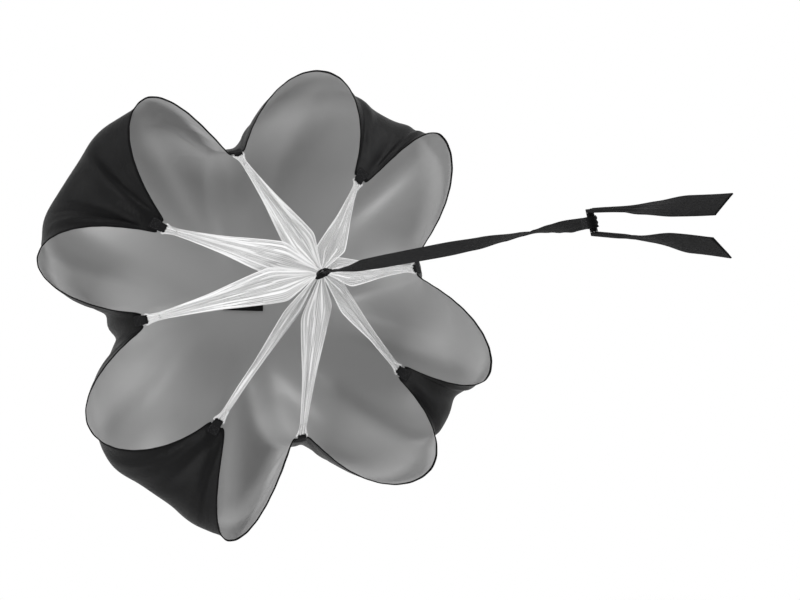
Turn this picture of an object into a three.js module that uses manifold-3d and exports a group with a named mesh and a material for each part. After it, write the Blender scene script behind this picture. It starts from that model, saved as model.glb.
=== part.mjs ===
// Speed parachute, inflated: a square cloth canopy held by eight mesh straps, with its tether and belt.
// Millimetres, +Z up. The origin is the hub where the straps meet, and +X runs along the tether.

import * as THREE from 'three';
import Module from 'manifold-3d';

const manifold = await Module();
manifold.setup();

// Clearances that several pieces share
const seatGap = 0.3;
const joinOverrun = 1.5;
const leastEdge = 0.1;
const fullTurn = 2 * Math.PI;

// Canopy cloth in its inflated shape
const canopyAxisY = 5;
const canopyAxisZ = -38;
const apexSetback = 950;
const clothThickness = 2;
const strapReach = 600;
const notchRadius = 335;
const notchFlatWidth = 34;
const lobeRadius = 556;
const lobeSetback = 575;
const hemDepth = 8;
const flatHemShare = 0.75;

// How far round its curve the cloth goes from the apex to the rim, and how flat its middle is.
// By the square's corners the cloth bulges out past the rim, to a body of its own radius.
const cornerBodyRadii = [585, 560, 545, 570];
const bodyReachPower = 7;
const midsideSweepDegrees = 124;
const lobeSweepDegrees = 78;
const flarePower = 8;
const midsideBlendPower = 0.6;
const roundFlatness = 1;
const midsideFlatness = 0.62;

// The eight notches go clockwise seen from the tether, from the upper corner on the -Y side.
// Even ones are the corners of the square cloth and odd ones are the middles of its sides.
const notchCount = 8;
const firstNotchDegrees = 135;
const notchStepDegrees = 45;
const notchTurnDegrees = [2.3, 4.2, -2.0, -0.5, 0.7, -5.4, 4.4, -3.0];
const notchRadiusShares = [0.967, 1.042, 1.015, 0.991, 0.997, 0.985, 1.0, 0.982];

// Lobe 0 lies between notches 0 and 1, and the others follow
const lobeRadiusShares = [1.0, 0.996, 1.025, 1.007, 1.006, 1.04, 0.955, 1.012];
const lobePeakShares = [0.58, 0.56, 0.4, 0.6, 0.4, 0.52, 0.49, 0.42];
const lobeRisePowers = [1.2, 1.1, 1.3, 1.35, 0.85, 1.3, 0.85, 0.75];
const lobeFallPowers = [1.1, 0.85, 1.4, 0.95, 1.25, 1.8, 1.2, 1.0];
const lobeSwingDegrees = [-1.3, -2.4, 5.5, -4.7, 4.9, 0, -0.4, -1.8];
const lobeSectors = 10;
const lobeVertices = lobeSectors + 1;
const canopyRings = 6;

// Rim binding tape, with the clearance that it and the tabs keep to the cloth's faces
const clothGap = 0.4;
const tapeThickness = 0.8;

// Rim tabs, each a strip of webbing folded over the rim with an eye at its bight
const tabWidth = 28;
const tabThickness = 1.6;
const tabLeg = 24;
const eyeNeck = 6;
const eyeLength = 4;
const eyeHeight = 7;

// Mesh straps
const netThickness = 1.2;
const prongRadius = eyeHeight / 2 - seatGap;
const prongLength = 32;
const prongFrontHalf = 11;
const strapEndThickness = 2.8;
const bundleEdgeShare = 0.4;
const strapWidest = 78;
const strapColumns = 8;
const strapPitchDegrees = 24;
const pleatHeight = 5;
const strapStationShares = [0, 0.1, 0.25, 0.42, 0.58, 0.7, 0.8, 0.88, 0.94];
const strapWidthShares = [0.23, 0.34, 0.52, 0.74, 0.92, 1, 0.84, 0.52, 0.3];
const strapOpenShares = [0, 0.4, 1, 1, 1, 1, 1, 0.8, 0.3];

// Hub
const wrapLength = 26;
const wrapWall = 2;
const bundleCore = 3;
const bundleLoosening = 2;
const bundleRadius = 9;
const bundleGap = 0.6;
const gatherLength = 22;
const gatherRadius = 15;
const linkRadius = 3;
const hubCapThickness = 2 * linkRadius;
const linkPitchSetoff = 4.2;

// Tether
const tetherWidth = 25;
const tetherThickness = 1.8;
const tetherEyeLength = 45;
const tetherEyeThickness = 5;
const junctionReach = 1700;
const tetherSteps = 48;
const tetherTwistShares = [0, 0.04, 0.18, 0.33, 0.5, 0.66, 0.78, 0.84, 0.88, 0.92, 1];
const tetherTwistDegrees = [0, 10, 62, 88, 84, 50, 20, 6, -20, -38, -90];
const loopTail = 34;
const loopThickness = 2.2;

// Belt
const bightRadius = 6;
const bightOverhang = 2;
const knuckleHeight = 5;
const beltWidth = 38;
const beltThickness = 1.8;
const beltArmLength = 448;
const beltSteps = 30;
const beltNeckThickness = 4;
const beltWidthShares = [0.3, 0.34, 0.6, 0.95, 1, 1];
const beltWidthPlaceShares = [0, 0.12, 0.3, 0.5, 0.7, 1];
const beltTwistPlaceShares = [0, 0.2, 0.45, 0.72, 1];
const upperArmTwistDegrees = [0, 4, 18, 36, 36];
const lowerArmTwistDegrees = [0, 8, 30, 56, 56];
const upperArmEnd = [22, -9];
const lowerArmEnd = [6, -64];
const patchLength = 100;
const patchThickness = 2;
const patchInset = 6;

// Apex tab inside the canopy
const apexTabLength = 100;
const apexTabWidth = 38;
const apexTabThickness = 3;
const apexTabTurnDegrees = 14;

const fabricBlack = () => new THREE.MeshStandardMaterial({ color: 0x1c1c1e, roughness: 0.45, metalness: 0 });
const webbingBlack = () => new THREE.MeshStandardMaterial({ color: 0x232325, roughness: 0.8, metalness: 0 });
const netWhite = () => new THREE.MeshStandardMaterial({ color: 0xe4e4e4, roughness: 0.7, metalness: 0 });

const radians = THREE.MathUtils.degToRad;
const mix = THREE.MathUtils.lerp;

function group() {
  const part = new THREE.Group();
  part.add(makeCanopy());
  for (let k = 0; k < notchCount; k += 1) {
    part.add(makeRimTape(k));
    part.add(makeRimTab(k));
    part.add(makeStrap(k));
  }
  part.add(makeApexTab());
  part.add(makeHubWrap(), makeHubLoop());
  part.add(makeTetherEye(), makeTether(), makeTetherLoop());
  part.add(makeBeltBight());
  part.add(...makeBeltArm('upper', 1, upperArmEnd, upperArmTwistDegrees, 'hook_patch'));
  part.add(...makeBeltArm('lower', -1, lowerArmEnd, lowerArmTwistDegrees, 'loop_patch'));
  return part;
}

function named(name, geometry, material) {
  const mesh = new THREE.Mesh(geometry, material);
  mesh.name = name;
  return mesh;
}

// Reads a table of values at places between 0 and 1, with smooth steps between its entries.
function tableAt(places, values, place) {
  let i = 1;
  while (i < places.length - 1 && place > places[i]) {
    i += 1;
  }
  const share = THREE.MathUtils.clamp((place - places[i - 1]) / (places[i] - places[i - 1]), 0, 1);
  return mix(values[i - 1], values[i], THREE.MathUtils.smoothstep(share, 0, 1));
}

// A thin sheet's two faces split their quads along the same diagonals, so that they never cross where it twists.
// A strip's second face is the second half of each section, and the canopy's is the second half of its rings.
const backOfSection = (ringShare, sectionShare) => sectionShare >= 0.5;
const backOfRings = (ringShare) => ringShare >= 0.5;

// A solid through a row of closed rings with as many points each. A ring of one point is a pole.
// End rings have an even count and are closed by pairs of points from both sides of the section.
function loft(rings, isBack = backOfSection) {
  const points = rings.flat();
  const starts = [];
  let count = 0;
  for (const ring of rings) {
    starts.push(count);
    count += ring.length;
  }
  const faces = [];
  for (let j = 1; j < rings.length; j += 1) {
    const onBack = (sectionShare) => isBack(j / rings.length, sectionShare);
    joinRings(faces, starts[j - 1], rings[j - 1].length, starts[j], rings[j].length, onBack);
  }
  if (rings[0].length > 1) {
    capRing(faces, starts[0], rings[0].length, false);
  }
  if (rings.at(-1).length > 1) {
    capRing(faces, starts.at(-1), rings.at(-1).length, true);
  }
  return closedGeometry(points, faces);
}

function joinRings(faces, a, aCount, b, bCount, onBack = () => false) {
  const steps = Math.max(aCount, bCount);
  for (let i = 0; i < steps; i += 1) {
    const next = (i + 1) % steps;
    const [a1, a2] = aCount > 1 ? [a + i, a + next] : [a, a];
    const [b1, b2] = bCount > 1 ? [b + i, b + next] : [b, b];
    const triangles = onBack(i / steps) ? [[a1, a2, b1], [a2, b2, b1]] : [[a1, a2, b2], [a1, b2, b1]];
    faces.push(...triangles.filter((triangle) => new Set(triangle).size === 3));
  }
}

function capRing(faces, start, count, turned) {
  for (let i = 0; i < count / 2 - 1; i += 1) {
    const quad = [start + i, start + i + 1, start + count - 2 - i, start + count - 1 - i];
    const triangles = [[quad[0], quad[2], quad[1]], [quad[0], quad[3], quad[2]]];
    for (const triangle of triangles) {
      if (new Set(triangle).size === 3) {
        faces.push(turned ? triangle.reverse() : triangle);
      }
    }
  }
}

// Rings joined in a circle, with no ends.
function loopLoft(rings) {
  const size = rings[0].length;
  const faces = [];
  for (let j = 0; j < rings.length; j += 1) {
    joinRings(faces, j * size, size, ((j + 1) % rings.length) * size, size);
  }
  return closedGeometry(rings.flat(), faces);
}

function closedGeometry(points, faces) {
  let volume = 0;
  for (const [a, b, c] of faces) {
    volume += points[a].dot(new THREE.Vector3().crossVectors(points[b], points[c]));
  }
  const ordered = volume > 0 ? faces : faces.map(([a, b, c]) => [a, c, b]);
  const geometry = new THREE.BufferGeometry();
  geometry.setAttribute('position', new THREE.Float32BufferAttribute(points.flatMap((p) => p.toArray()), 3));
  geometry.setIndex(ordered.flat());
  geometry.computeVertexNormals();
  return geometry;
}

function toSolid(geometry) {
  return new manifold.Manifold(new manifold.Mesh({
    numProp: 3,
    vertProperties: new Float32Array(geometry.getAttribute('position').array),
    triVerts: new Uint32Array(geometry.index.array),
  }));
}

function fuse(geometries) {
  const mesh = manifold.Manifold.union(geometries.map(toSolid)).simplify(leastEdge).getMesh();
  const geometry = new THREE.BufferGeometry();
  geometry.setAttribute('position', new THREE.Float32BufferAttribute(mesh.vertProperties, 3));
  geometry.setIndex([...mesh.triVerts]);
  geometry.computeVertexNormals();
  return geometry;
}

// Canopy surface
function notchPlace(index) {
  const k = (index + notchCount) % notchCount;
  const angle = radians(firstNotchDegrees - notchStepDegrees * index + notchTurnDegrees[k]);
  const radius = notchRadius * notchRadiusShares[k];
  const y = canopyAxisY + radius * Math.cos(angle);
  const z = canopyAxisZ + radius * Math.sin(angle);
  const x = -Math.sqrt(strapReach ** 2 - y ** 2 - z ** 2);
  const corner = k % 2 === 0;
  return {
    angle,
    radius,
    x,
    corner: corner ? 1 : 0,
    flatness: corner ? roundFlatness : midsideFlatness,
    halfFlat: notchFlatWidth / 2 / radius,
  };
}

// How far the rim has swung out into its lobe, from 0 at the notches to 1 at the lobe's peak.
function lobeWeight(lobe, across) {
  const peak = lobePeakShares[lobe];
  const rising = across < peak;
  const share = rising ? across / peak : (1 - across) / (1 - peak);
  const power = rising ? lobeRisePowers[lobe] : lobeFallPowers[lobe];
  return Math.sin(Math.PI / 2 * Math.max(share, 0)) ** power;
}

// A point of the cloth's middle: across goes over the lobe from notch to notch, along from apex to rim.
function canopyPoint(lobe, across, along) {
  const from = notchPlace(lobe);
  const to = notchPlace(lobe + 1);
  const weight = lobeWeight(lobe, across);
  const blend = (key) => mix(from[key], to[key], across);
  const lobeRim = lobeRadius * lobeRadiusShares[lobe];
  const rimRadius = mix(blend('radius'), lobeRim, weight);
  const rimX = mix(blend('x'), -lobeSetback, weight);
  const bodyRadius = mix(cornerBodyRadii[Math.ceil(lobe / 2) % 4], lobeRim, weight ** bodyReachPower);
  const flare = radians(90 - lobeSweepDegrees) * weight ** flarePower;
  const cornerSweep = Math.PI - Math.asin(Math.min(rimRadius / bodyRadius, 1)) - flare;
  const midsideSweep = mix(radians(midsideSweepDegrees), radians(lobeSweepDegrees), weight ** midsideBlendPower);
  const sweep = mix(midsideSweep, cornerSweep, blend('corner'));
  const flatness = mix(blend('flatness'), roundFlatness, Math.sqrt(weight));
  const depth = (apexSetback + rimX) / (1 - Math.cos(sweep));
  const turn = sweep * along;
  const radius = rimRadius * (Math.sin(turn) / Math.sin(sweep)) ** flatness;
  const swing = radians(lobeSwingDegrees[lobe]) * weight * along;
  const angle = mix(from.angle - from.halfFlat, to.angle + to.halfFlat, across) + swing;
  return new THREE.Vector3(
    -apexSetback + depth * (1 - Math.cos(turn)),
    canopyAxisY + radius * Math.cos(angle),
    canopyAxisZ + radius * Math.sin(angle),
  );
}

// The rim runs over each lobe's sectors, and one flat sector at each notch joins two lobes.
function canopyRing(along) {
  const ring = [];
  for (let lobe = 0; lobe < notchCount; lobe += 1) {
    for (let i = 0; i <= lobeSectors; i += 1) {
      ring.push(canopyPoint(lobe, i / lobeSectors, along));
    }
  }
  return ring;
}

// A point on the cloth one hem's depth from the rim, square to it. By a notch it turns towards square to the flat.
function hemPoint(rim, beforeRim, i) {
  const place = i % lobeVertices;
  const ahead = rim[(i + 1) % rim.length].clone().sub(rim[i]).normalize();
  const behind = rim[i].clone().sub(rim.at(i - 1)).normalize();
  const aheadShare = place === 0 ? 1 - flatHemShare : 1;
  const behindShare = place === lobeSectors ? 1 - flatHemShare : 1;
  const tangent = ahead.multiplyScalar(aheadShare).addScaledVector(behind, behindShare).normalize();
  const back = beforeRim[i].clone().sub(rim[i]);
  back.addScaledVector(tangent, -back.dot(tangent)).normalize();
  return rim[i].clone().addScaledVector(back, hemDepth);
}

// Both faces of the cloth: the middle surface moved half a thickness along its own normals.
function canopyFaces() {
  const middle = [];
  for (let j = 1; j <= canopyRings; j += 1) {
    middle.push(canopyRing(j / canopyRings));
  }
  const [beforeRim, rim] = middle.slice(-2);
  middle.splice(-1, 0, rim.map((point, i) => hemPoint(rim, beforeRim, i)));
  const pole = canopyPoint(0, 0, 0);
  const geometry = new THREE.BufferGeometry();
  const points = [pole, ...middle.flat()];
  const size = middle[0].length;
  const faces = [];
  joinRings(faces, 0, 1, 1, size);
  for (let j = 1; j < middle.length; j += 1) {
    joinRings(faces, 1 + (j - 1) * size, size, 1 + j * size, size);
  }
  geometry.setAttribute('position', new THREE.Float32BufferAttribute(points.flatMap((p) => p.toArray()), 3));
  geometry.setIndex(faces.flat());
  geometry.computeVertexNormals();
  const normals = geometry.getAttribute('normal');
  const normalAt = (i) => new THREE.Vector3().fromBufferAttribute(normals, i);
  const side = normalAt(0).x < 0 ? 1 : -1;
  const moved = (offset) => {
    const all = points.map((p, i) => p.clone().addScaledVector(normalAt(i), side * offset));
    const rings = [];
    for (let j = 0; j < middle.length; j += 1) {
      rings.push(all.slice(1 + j * size, 1 + (j + 1) * size));
    }
    return { pole: all[0], rings };
  };
  return { outer: moved(clothThickness / 2), inner: moved(-clothThickness / 2) };
}

const cloth = canopyFaces();

function makeCanopy() {
  const rings = [
    [cloth.inner.pole],
    ...cloth.inner.rings,
    ...cloth.outer.rings.toReversed(),
    [cloth.outer.pole],
  ];
  return named('canopy', loft(rings, backOfRings), fabricBlack());
}

// The cloth's edge at one rim vertex: its place, and unit directions out past the rim and through the cloth.
function rimFrame(vertex) {
  const outer = cloth.outer.rings.at(-1)[vertex];
  const inner = cloth.inner.rings.at(-1)[vertex];
  const outerBack = cloth.outer.rings.at(-2)[vertex];
  const innerBack = cloth.inner.rings.at(-2)[vertex];
  const edge = outer.clone().add(inner).multiplyScalar(0.5);
  const back = outerBack.clone().add(innerBack).multiplyScalar(0.5);
  return {
    edge,
    out: edge.clone().sub(back).normalize(),
    through: outer.clone().sub(inner).normalize(),
  };
}

// The tape's section goes hem, rim, rim, hem outside and back inside. Its faces split along the cloth's own diagonals,
// which run from the hem to the next rim point.
const backOfTape = (ringShare, sectionShare) => sectionShare >= 0.25 && sectionShare !== 0.5;

// Folded tape over the cloth's edge along one lobe, as a channel that follows the hem's own points.
function makeRimTape(lobe) {
  const rings = [];
  for (let i = 0; i < lobeVertices; i += 1) {
    const vertex = lobe * lobeVertices + i;
    const { out, through } = rimFrame(vertex);
    const hemThrough = cloth.outer.rings.at(-2)[vertex].clone().sub(cloth.inner.rings.at(-2)[vertex]).normalize();
    const place = (side, atHem, offset) => {
      const face = side > 0 ? cloth.outer : cloth.inner;
      if (atHem) {
        return face.rings.at(-2)[vertex].clone().addScaledVector(hemThrough, side * offset);
      }
      const edge = face.rings.at(-1)[vertex].clone();
      return edge.addScaledVector(through, side * offset).addScaledVector(out, offset);
    };
    const outside = clothGap + tapeThickness;
    rings.push([
      place(1, true, outside),
      place(1, false, outside),
      place(-1, false, outside),
      place(-1, true, outside),
      place(-1, true, clothGap),
      place(-1, false, clothGap),
      place(1, false, clothGap),
      place(1, true, clothGap),
    ]);
  }
  return named(`rim_tape_${lobe + 1}`, loft(rings, backOfTape), webbingBlack());
}

// Middle of the flat at a notch, with unit directions: out past the rim, through the cloth and along the rim.
function notchFrame(k) {
  const size = notchCount * lobeVertices;
  const first = (k * lobeVertices - 1 + size) % size;
  const second = k * lobeVertices;
  const a = rimFrame(first);
  const b = rimFrame(second);
  const origin = a.edge.clone().add(b.edge).multiplyScalar(0.5);
  const side = b.edge.clone().sub(a.edge).normalize();
  const out = a.out.clone().add(b.out);
  out.addScaledVector(side, -out.dot(side)).normalize();
  const through = new THREE.Vector3().crossVectors(out, side).normalize();
  if (through.dot(a.through) < 0) {
    through.negate();
  }
  const eye = origin.clone().addScaledVector(out, seatGap + eyeNeck + eyeLength);
  return { origin, side, out, through, eye };
}

function makeRimTab(k) {
  const frame = notchFrame(k);
  const clothHalf = clothThickness / 2 + clothGap;
  const eyeHalf = eyeHeight / 2;
  const eyeStart = seatGap + eyeNeck;
  const eyeEnd = eyeStart + eyeLength;
  const shape = new THREE.Shape();
  shape.moveTo(-tabLeg, clothHalf);
  shape.lineTo(-tabLeg, clothHalf + tabThickness);
  shape.lineTo(0, clothHalf + tabThickness);
  shape.lineTo(eyeStart, eyeHalf + tabThickness);
  shape.absarc(eyeEnd, 0, eyeHalf + tabThickness, Math.PI / 2, -Math.PI / 2, true);
  shape.lineTo(eyeStart, -eyeHalf - tabThickness);
  shape.lineTo(0, -clothHalf - tabThickness);
  shape.lineTo(-tabLeg, -clothHalf - tabThickness);
  shape.lineTo(-tabLeg, -clothHalf);
  shape.lineTo(0, -clothHalf);
  shape.lineTo(eyeStart, -eyeHalf);
  shape.absarc(eyeEnd, 0, eyeHalf, -Math.PI / 2, Math.PI / 2, false);
  shape.lineTo(eyeStart, eyeHalf);
  shape.lineTo(0, clothHalf);
  const geometry = new THREE.ExtrudeGeometry(shape, { depth: tabWidth, bevelEnabled: false, curveSegments: 8 });
  geometry.translate(0, 0, -tabWidth / 2);
  const side = new THREE.Vector3().crossVectors(frame.out, frame.through);
  const matrix = new THREE.Matrix4().makeBasis(frame.out, frame.through, side).setPosition(frame.origin);
  geometry.applyMatrix4(matrix);
  return named(`rim_tab_${k + 1}`, geometry, webbingBlack());
}

// Straps. Each ends in a ring of gathered net through its tab's eye.
function ringTube(path, planeNormal, radius, sides) {
  const rings = path.map((point, i) => {
    const before = path[(i - 1 + path.length) % path.length];
    const after = path[(i + 1) % path.length];
    const inward = point.clone().sub(before).normalize();
    const outward = after.clone().sub(point).normalize();
    const along = inward.clone().add(outward).normalize();
    const across = new THREE.Vector3().crossVectors(planeNormal, along).normalize();
    const stretch = 1 / Math.max(inward.dot(along), 0.5);
    const ring = [];
    for (let s = 0; s < sides; s += 1) {
      const angle = (s + 0.5) * 2 * Math.PI / sides;
      ring.push(point.clone()
        .addScaledVector(across, radius * stretch * Math.cos(angle))
        .addScaledVector(planeNormal, radius * Math.sin(angle)));
    }
    return ring;
  });
  return loopLoft(rings);
}

function strapFrame(k) {
  const frame = notchFrame(k);
  const hubAngle = radians(firstNotchDegrees - notchStepDegrees * k);
  const radial = new THREE.Vector3(0, Math.cos(hubAngle), Math.sin(hubAngle));
  const tangent = new THREE.Vector3(0, -Math.sin(hubAngle), Math.cos(hubAngle));
  const gather = new THREE.Vector3(-hubCapThickness - wrapLength - gatherLength, 0, 0);
  gather.addScaledVector(radial, gatherRadius);
  const toward = gather.clone().sub(frame.eye);
  const forward = toward.clone().addScaledVector(frame.side, -toward.dot(frame.side)).normalize();
  return { ...frame, radial, tangent, gather, forward };
}

function strapProngs(k) {
  const { eye, side, forward } = strapFrame(k);
  const normal = new THREE.Vector3().crossVectors(side, forward);
  const back = tabWidth / 2 + seatGap + prongRadius * 1.25;
  const chamfer = prongRadius * 0.85;
  const straight = eyeHeight / 2 + tabThickness + prongRadius;
  const outline = [
    [back - chamfer, 0],
    [back, chamfer],
    [back, straight],
    [prongFrontHalf, prongLength],
    [-prongFrontHalf, prongLength],
    [-back, straight],
    [-back, chamfer],
    [chamfer - back, 0],
  ];
  const path = outline.map(([b, u]) => eye.clone().addScaledVector(side, b).addScaledVector(forward, u));
  return ringTube(path, normal, prongRadius, 6);
}

// A section with one column of points on each face, from an oval bundle to pleated net as it opens from 0 to 1.
function pleatedRing(centre, wide, thick, width, open) {
  const upper = [];
  const lower = [];
  const thickness = mix(strapEndThickness, netThickness, open);
  for (let i = 0; i <= strapColumns; i += 1) {
    const share = i / strapColumns - 0.5;
    const crown = mix(bundleEdgeShare, 1, Math.cos(Math.PI * share));
    const half = thickness / 2 * mix(crown, 1, open);
    const wave = (i % 2 === 0 ? -0.5 : 0.5) * pleatHeight * open;
    upper.push(centre.clone().addScaledVector(wide, width * share).addScaledVector(thick, wave + half));
    lower.push(centre.clone().addScaledVector(wide, width * share).addScaledVector(thick, wave - half));
  }
  return [...upper, ...lower.reverse()];
}

// The strap's end in the hub wrap: one eighth of the bundle.
function wedgeRing(x, radial, tangent, inner, outer) {
  const upper = [];
  const lower = [];
  const halfStep = radians(notchStepDegrees / 2);
  const gapShift = bundleGap / 2 / Math.cos(halfStep);
  for (let i = 0; i <= strapColumns; i += 1) {
    const share = 2 * i / strapColumns - 1;
    const place = (radius) => new THREE.Vector3(x, 0, 0)
      .addScaledVector(radial, radius)
      .addScaledVector(tangent, share * (radius * Math.tan(halfStep) - gapShift));
    upper.push(place(inner));
    lower.push(place(outer));
  }
  return [...upper, ...lower.reverse()];
}

function strapBlade(k) {
  const { eye, side, forward, radial, tangent, gather } = strapFrame(k);
  const start = eye.clone().addScaledVector(forward, prongLength - joinOverrun);
  const along = gather.clone().sub(start);
  const length = along.length();
  along.normalize();
  const flatSide = side.clone().addScaledVector(along, -side.dot(along)).normalize();
  if (flatSide.dot(tangent) < 0) {
    flatSide.negate();
  }
  const rings = strapStationShares.map((share, i) => {
    const centre = start.clone().addScaledVector(along, length * share);
    const turn = radians(strapPitchDegrees) * Math.min(share / strapStationShares[3], 1);
    const wide = flatSide.clone().applyAxisAngle(along, turn);
    const thick = new THREE.Vector3().crossVectors(along, wide);
    const width = strapWidest * strapWidthShares[i];
    return pleatedRing(centre, wide, thick, width, strapOpenShares[i]);
  });
  const backX = -hubCapThickness - seatGap - wrapLength;
  const looseCore = bundleCore + bundleLoosening;
  const looseRadius = bundleRadius + bundleLoosening;
  rings.push(wedgeRing(backX - gatherLength / 3, radial, tangent, looseCore, looseRadius));
  rings.push(wedgeRing(backX, radial, tangent, bundleCore, bundleRadius));
  rings.push(wedgeRing(-hubCapThickness - seatGap, radial, tangent, bundleCore, bundleRadius));
  return loft(rings);
}

function makeStrap(k) {
  return named(`strap_${k + 1}`, fuse([strapProngs(k), strapBlade(k)]), netWhite());
}

// A flat rectangle of points: wide by thick, about a centre.
function flatRing(centre, wide, thick, width, thickness) {
  const corners = [[-1, 1], [1, 1], [1, -1], [-1, -1]];
  return corners.map(([w, t]) => centre.clone()
    .addScaledVector(wide, w * width / 2)
    .addScaledVector(thick, t * thickness / 2));
}

// Webbing along X from one point to another, turned about its own length. A turn of 0 lays its width along Y.
function webbing(stations) {
  const rings = stations.map(({ centre, turn, width, thickness }) => {
    const wide = new THREE.Vector3(0, Math.cos(turn), Math.sin(turn));
    const thick = new THREE.Vector3(0, -Math.sin(turn), Math.cos(turn));
    return flatRing(centre, wide, thick, width, thickness);
  });
  return loft(rings);
}

// The tab's face follows the dome's first ring, so it stands off by what the cloth rises there.
function makeApexTab() {
  const reach = apexTabLength / 2;
  const firstRing = cloth.inner.rings[0];
  const rise = Math.max(...firstRing.map((point) => {
    const radius = Math.hypot(point.y - canopyAxisY, point.z - canopyAxisZ);
    return (point.x - cloth.inner.pole.x) * Math.min(reach / radius, 1);
  }));
  const geometry = new THREE.BoxGeometry(apexTabThickness, apexTabLength, apexTabWidth);
  geometry.rotateX(radians(-apexTabTurnDegrees));
  geometry.translate(cloth.inner.pole.x + rise + seatGap + apexTabThickness / 2, canopyAxisY, canopyAxisZ);
  return named('apex_tab', geometry, webbingBlack());
}

// An eight-sided prism along X, with a hole of the same shape if it has an inner radius.
function octagonPrism(front, length, outer, inner) {
  const corner = (radius) => radius / Math.cos(Math.PI / notchCount);
  const outline = (radius) => {
    const points = [];
    for (let i = 0; i < notchCount; i += 1) {
      const angle = (i + 0.5) * fullTurn / notchCount;
      points.push(new THREE.Vector2(corner(radius) * Math.cos(angle), corner(radius) * Math.sin(angle)));
    }
    return points;
  };
  const shape = new THREE.Shape(outline(outer));
  if (inner) {
    shape.holes.push(new THREE.Path(outline(inner)));
  }
  const geometry = new THREE.ExtrudeGeometry(shape, { depth: length, bevelEnabled: false });
  geometry.rotateY(Math.PI / 2);
  geometry.translate(front - length, 0, 0);
  return geometry;
}

const wrapOuter = bundleRadius + seatGap + wrapWall;

function makeHubWrap() {
  const front = -hubCapThickness - seatGap;
  return named('hub_wrap', octagonPrism(front, wrapLength, wrapOuter, bundleRadius + seatGap), webbingBlack());
}

// Two folded loops link at the hub like two links of a chain: the hub's stands upright, the tether's lies flat.
const linkBend = 2 * linkRadius + seatGap;
const linkBack = linkPitchSetoff + linkRadius;
const linkFront = linkBack + linkBend;

function halfTurnPath(centreX, facing, axisOf) {
  const path = [];
  const steps = 8;
  for (let i = 0; i <= steps; i += 1) {
    const angle = Math.PI * (i / steps - 0.5);
    path.push(axisOf(centreX + facing * linkBend * Math.cos(angle), linkBend * Math.sin(angle)));
  }
  return path;
}

function makeHubLoop() {
  const upright = (x, z) => new THREE.Vector3(x, 0, z);
  const rootX = -hubCapThickness / 2;
  const path = [upright(rootX, -linkBend), ...halfTurnPath(linkBack, 1, upright), upright(rootX, linkBend)];
  const ring = ringTube(path, new THREE.Vector3(0, 1, 0), linkRadius, 8);
  return named('hub_loop', fuse([ring, indexed(octagonPrism(0, hubCapThickness, wrapOuter, 0))]), webbingBlack());
}

// ExtrudeGeometry and BoxGeometry repeat their vertices, and a manifold solid needs them merged.
function indexed(geometry) {
  const position = (geometry.index ? geometry.toNonIndexed() : geometry).getAttribute('position');
  const points = [];
  const places = new Map();
  const order = [];
  for (let i = 0; i < position.count; i += 1) {
    const point = new THREE.Vector3().fromBufferAttribute(position, i);
    const key = point.toArray().map((value) => value.toFixed(4)).join(' ');
    if (!places.has(key)) {
      places.set(key, points.length);
      points.push(point);
    }
    order.push(places.get(key));
  }
  const faces = [];
  for (let i = 0; i < order.length; i += 3) {
    faces.push(order.slice(i, i + 3));
  }
  return closedGeometry(points, faces);
}

const eyePlateStart = linkFront + linkBend + seatGap;
const eyePlateEnd = eyePlateStart + tetherEyeLength;
const tetherPivotX = eyePlateEnd + seatGap + tetherThickness / 2;

function makeTetherEye() {
  const flat = (x, y) => new THREE.Vector3(x, y, 0);
  const frontX = eyePlateStart + linkRadius + joinOverrun;
  const path = [flat(frontX, linkBend), ...halfTurnPath(linkFront, -1, flat).reverse(), flat(frontX, -linkBend)];
  const ring = ringTube(path, new THREE.Vector3(0, 0, 1), linkRadius, 8);
  const plate = new THREE.BoxGeometry(tetherEyeLength, tetherWidth, tetherEyeThickness);
  plate.translate(eyePlateStart + tetherEyeLength / 2, 0, 0);
  return named('tether_eye', fuse([ring, indexed(plate)]), webbingBlack());
}

const loopRootX = junctionReach - bightRadius - seatGap - loopThickness - loopTail;

function makeTether() {
  const start = tetherPivotX;
  const end = loopRootX - seatGap;
  const stations = [];
  for (let i = 0; i <= tetherSteps; i += 1) {
    const share = i / tetherSteps;
    stations.push({
      centre: new THREE.Vector3(mix(start, end, share), 0, 0),
      turn: radians(tableAt(tetherTwistShares, tetherTwistDegrees, share)),
      width: tetherWidth,
      thickness: tetherThickness,
    });
  }
  const strip = webbing(stations);
  const edge = new THREE.CylinderGeometry(tetherThickness / 2, tetherThickness / 2, tetherWidth, 12);
  edge.translate(start, 0, 0);
  return named('tether', fuse([strip, indexed(edge)]), webbingBlack());
}

// The tether's far end, folded into a loop round the belt, with its sewn tail.
function makeTetherLoop() {
  const inner = bightRadius + seatGap;
  const outer = inner + loopThickness;
  const tailHalf = tetherEyeThickness / 2;
  const tailTurn = Math.PI - Math.asin(tailHalf / outer);
  const shape = new THREE.Shape();
  shape.absarc(0, 0, outer, -tailTurn, tailTurn, false);
  shape.lineTo(-outer - loopTail, tailHalf);
  shape.lineTo(-outer - loopTail, -tailHalf);
  shape.closePath();
  const hole = new THREE.Path();
  hole.absarc(0, 0, inner, 0, fullTurn, true);
  shape.holes.push(hole);
  const geometry = new THREE.ExtrudeGeometry(shape, { depth: tetherWidth, bevelEnabled: false, curveSegments: 20 });
  geometry.translate(junctionReach, 0, -tetherWidth / 2);
  return named('tether_loop', geometry, webbingBlack());
}

const bightHalf = tetherWidth / 2 + bightOverhang;

function makeBeltBight() {
  const geometry = new THREE.CylinderGeometry(bightRadius, bightRadius, 2 * bightHalf, 20);
  geometry.rotateX(Math.PI / 2);
  geometry.translate(junctionReach, 0, 0);
  return named('belt_bight', geometry, webbingBlack());
}

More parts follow.
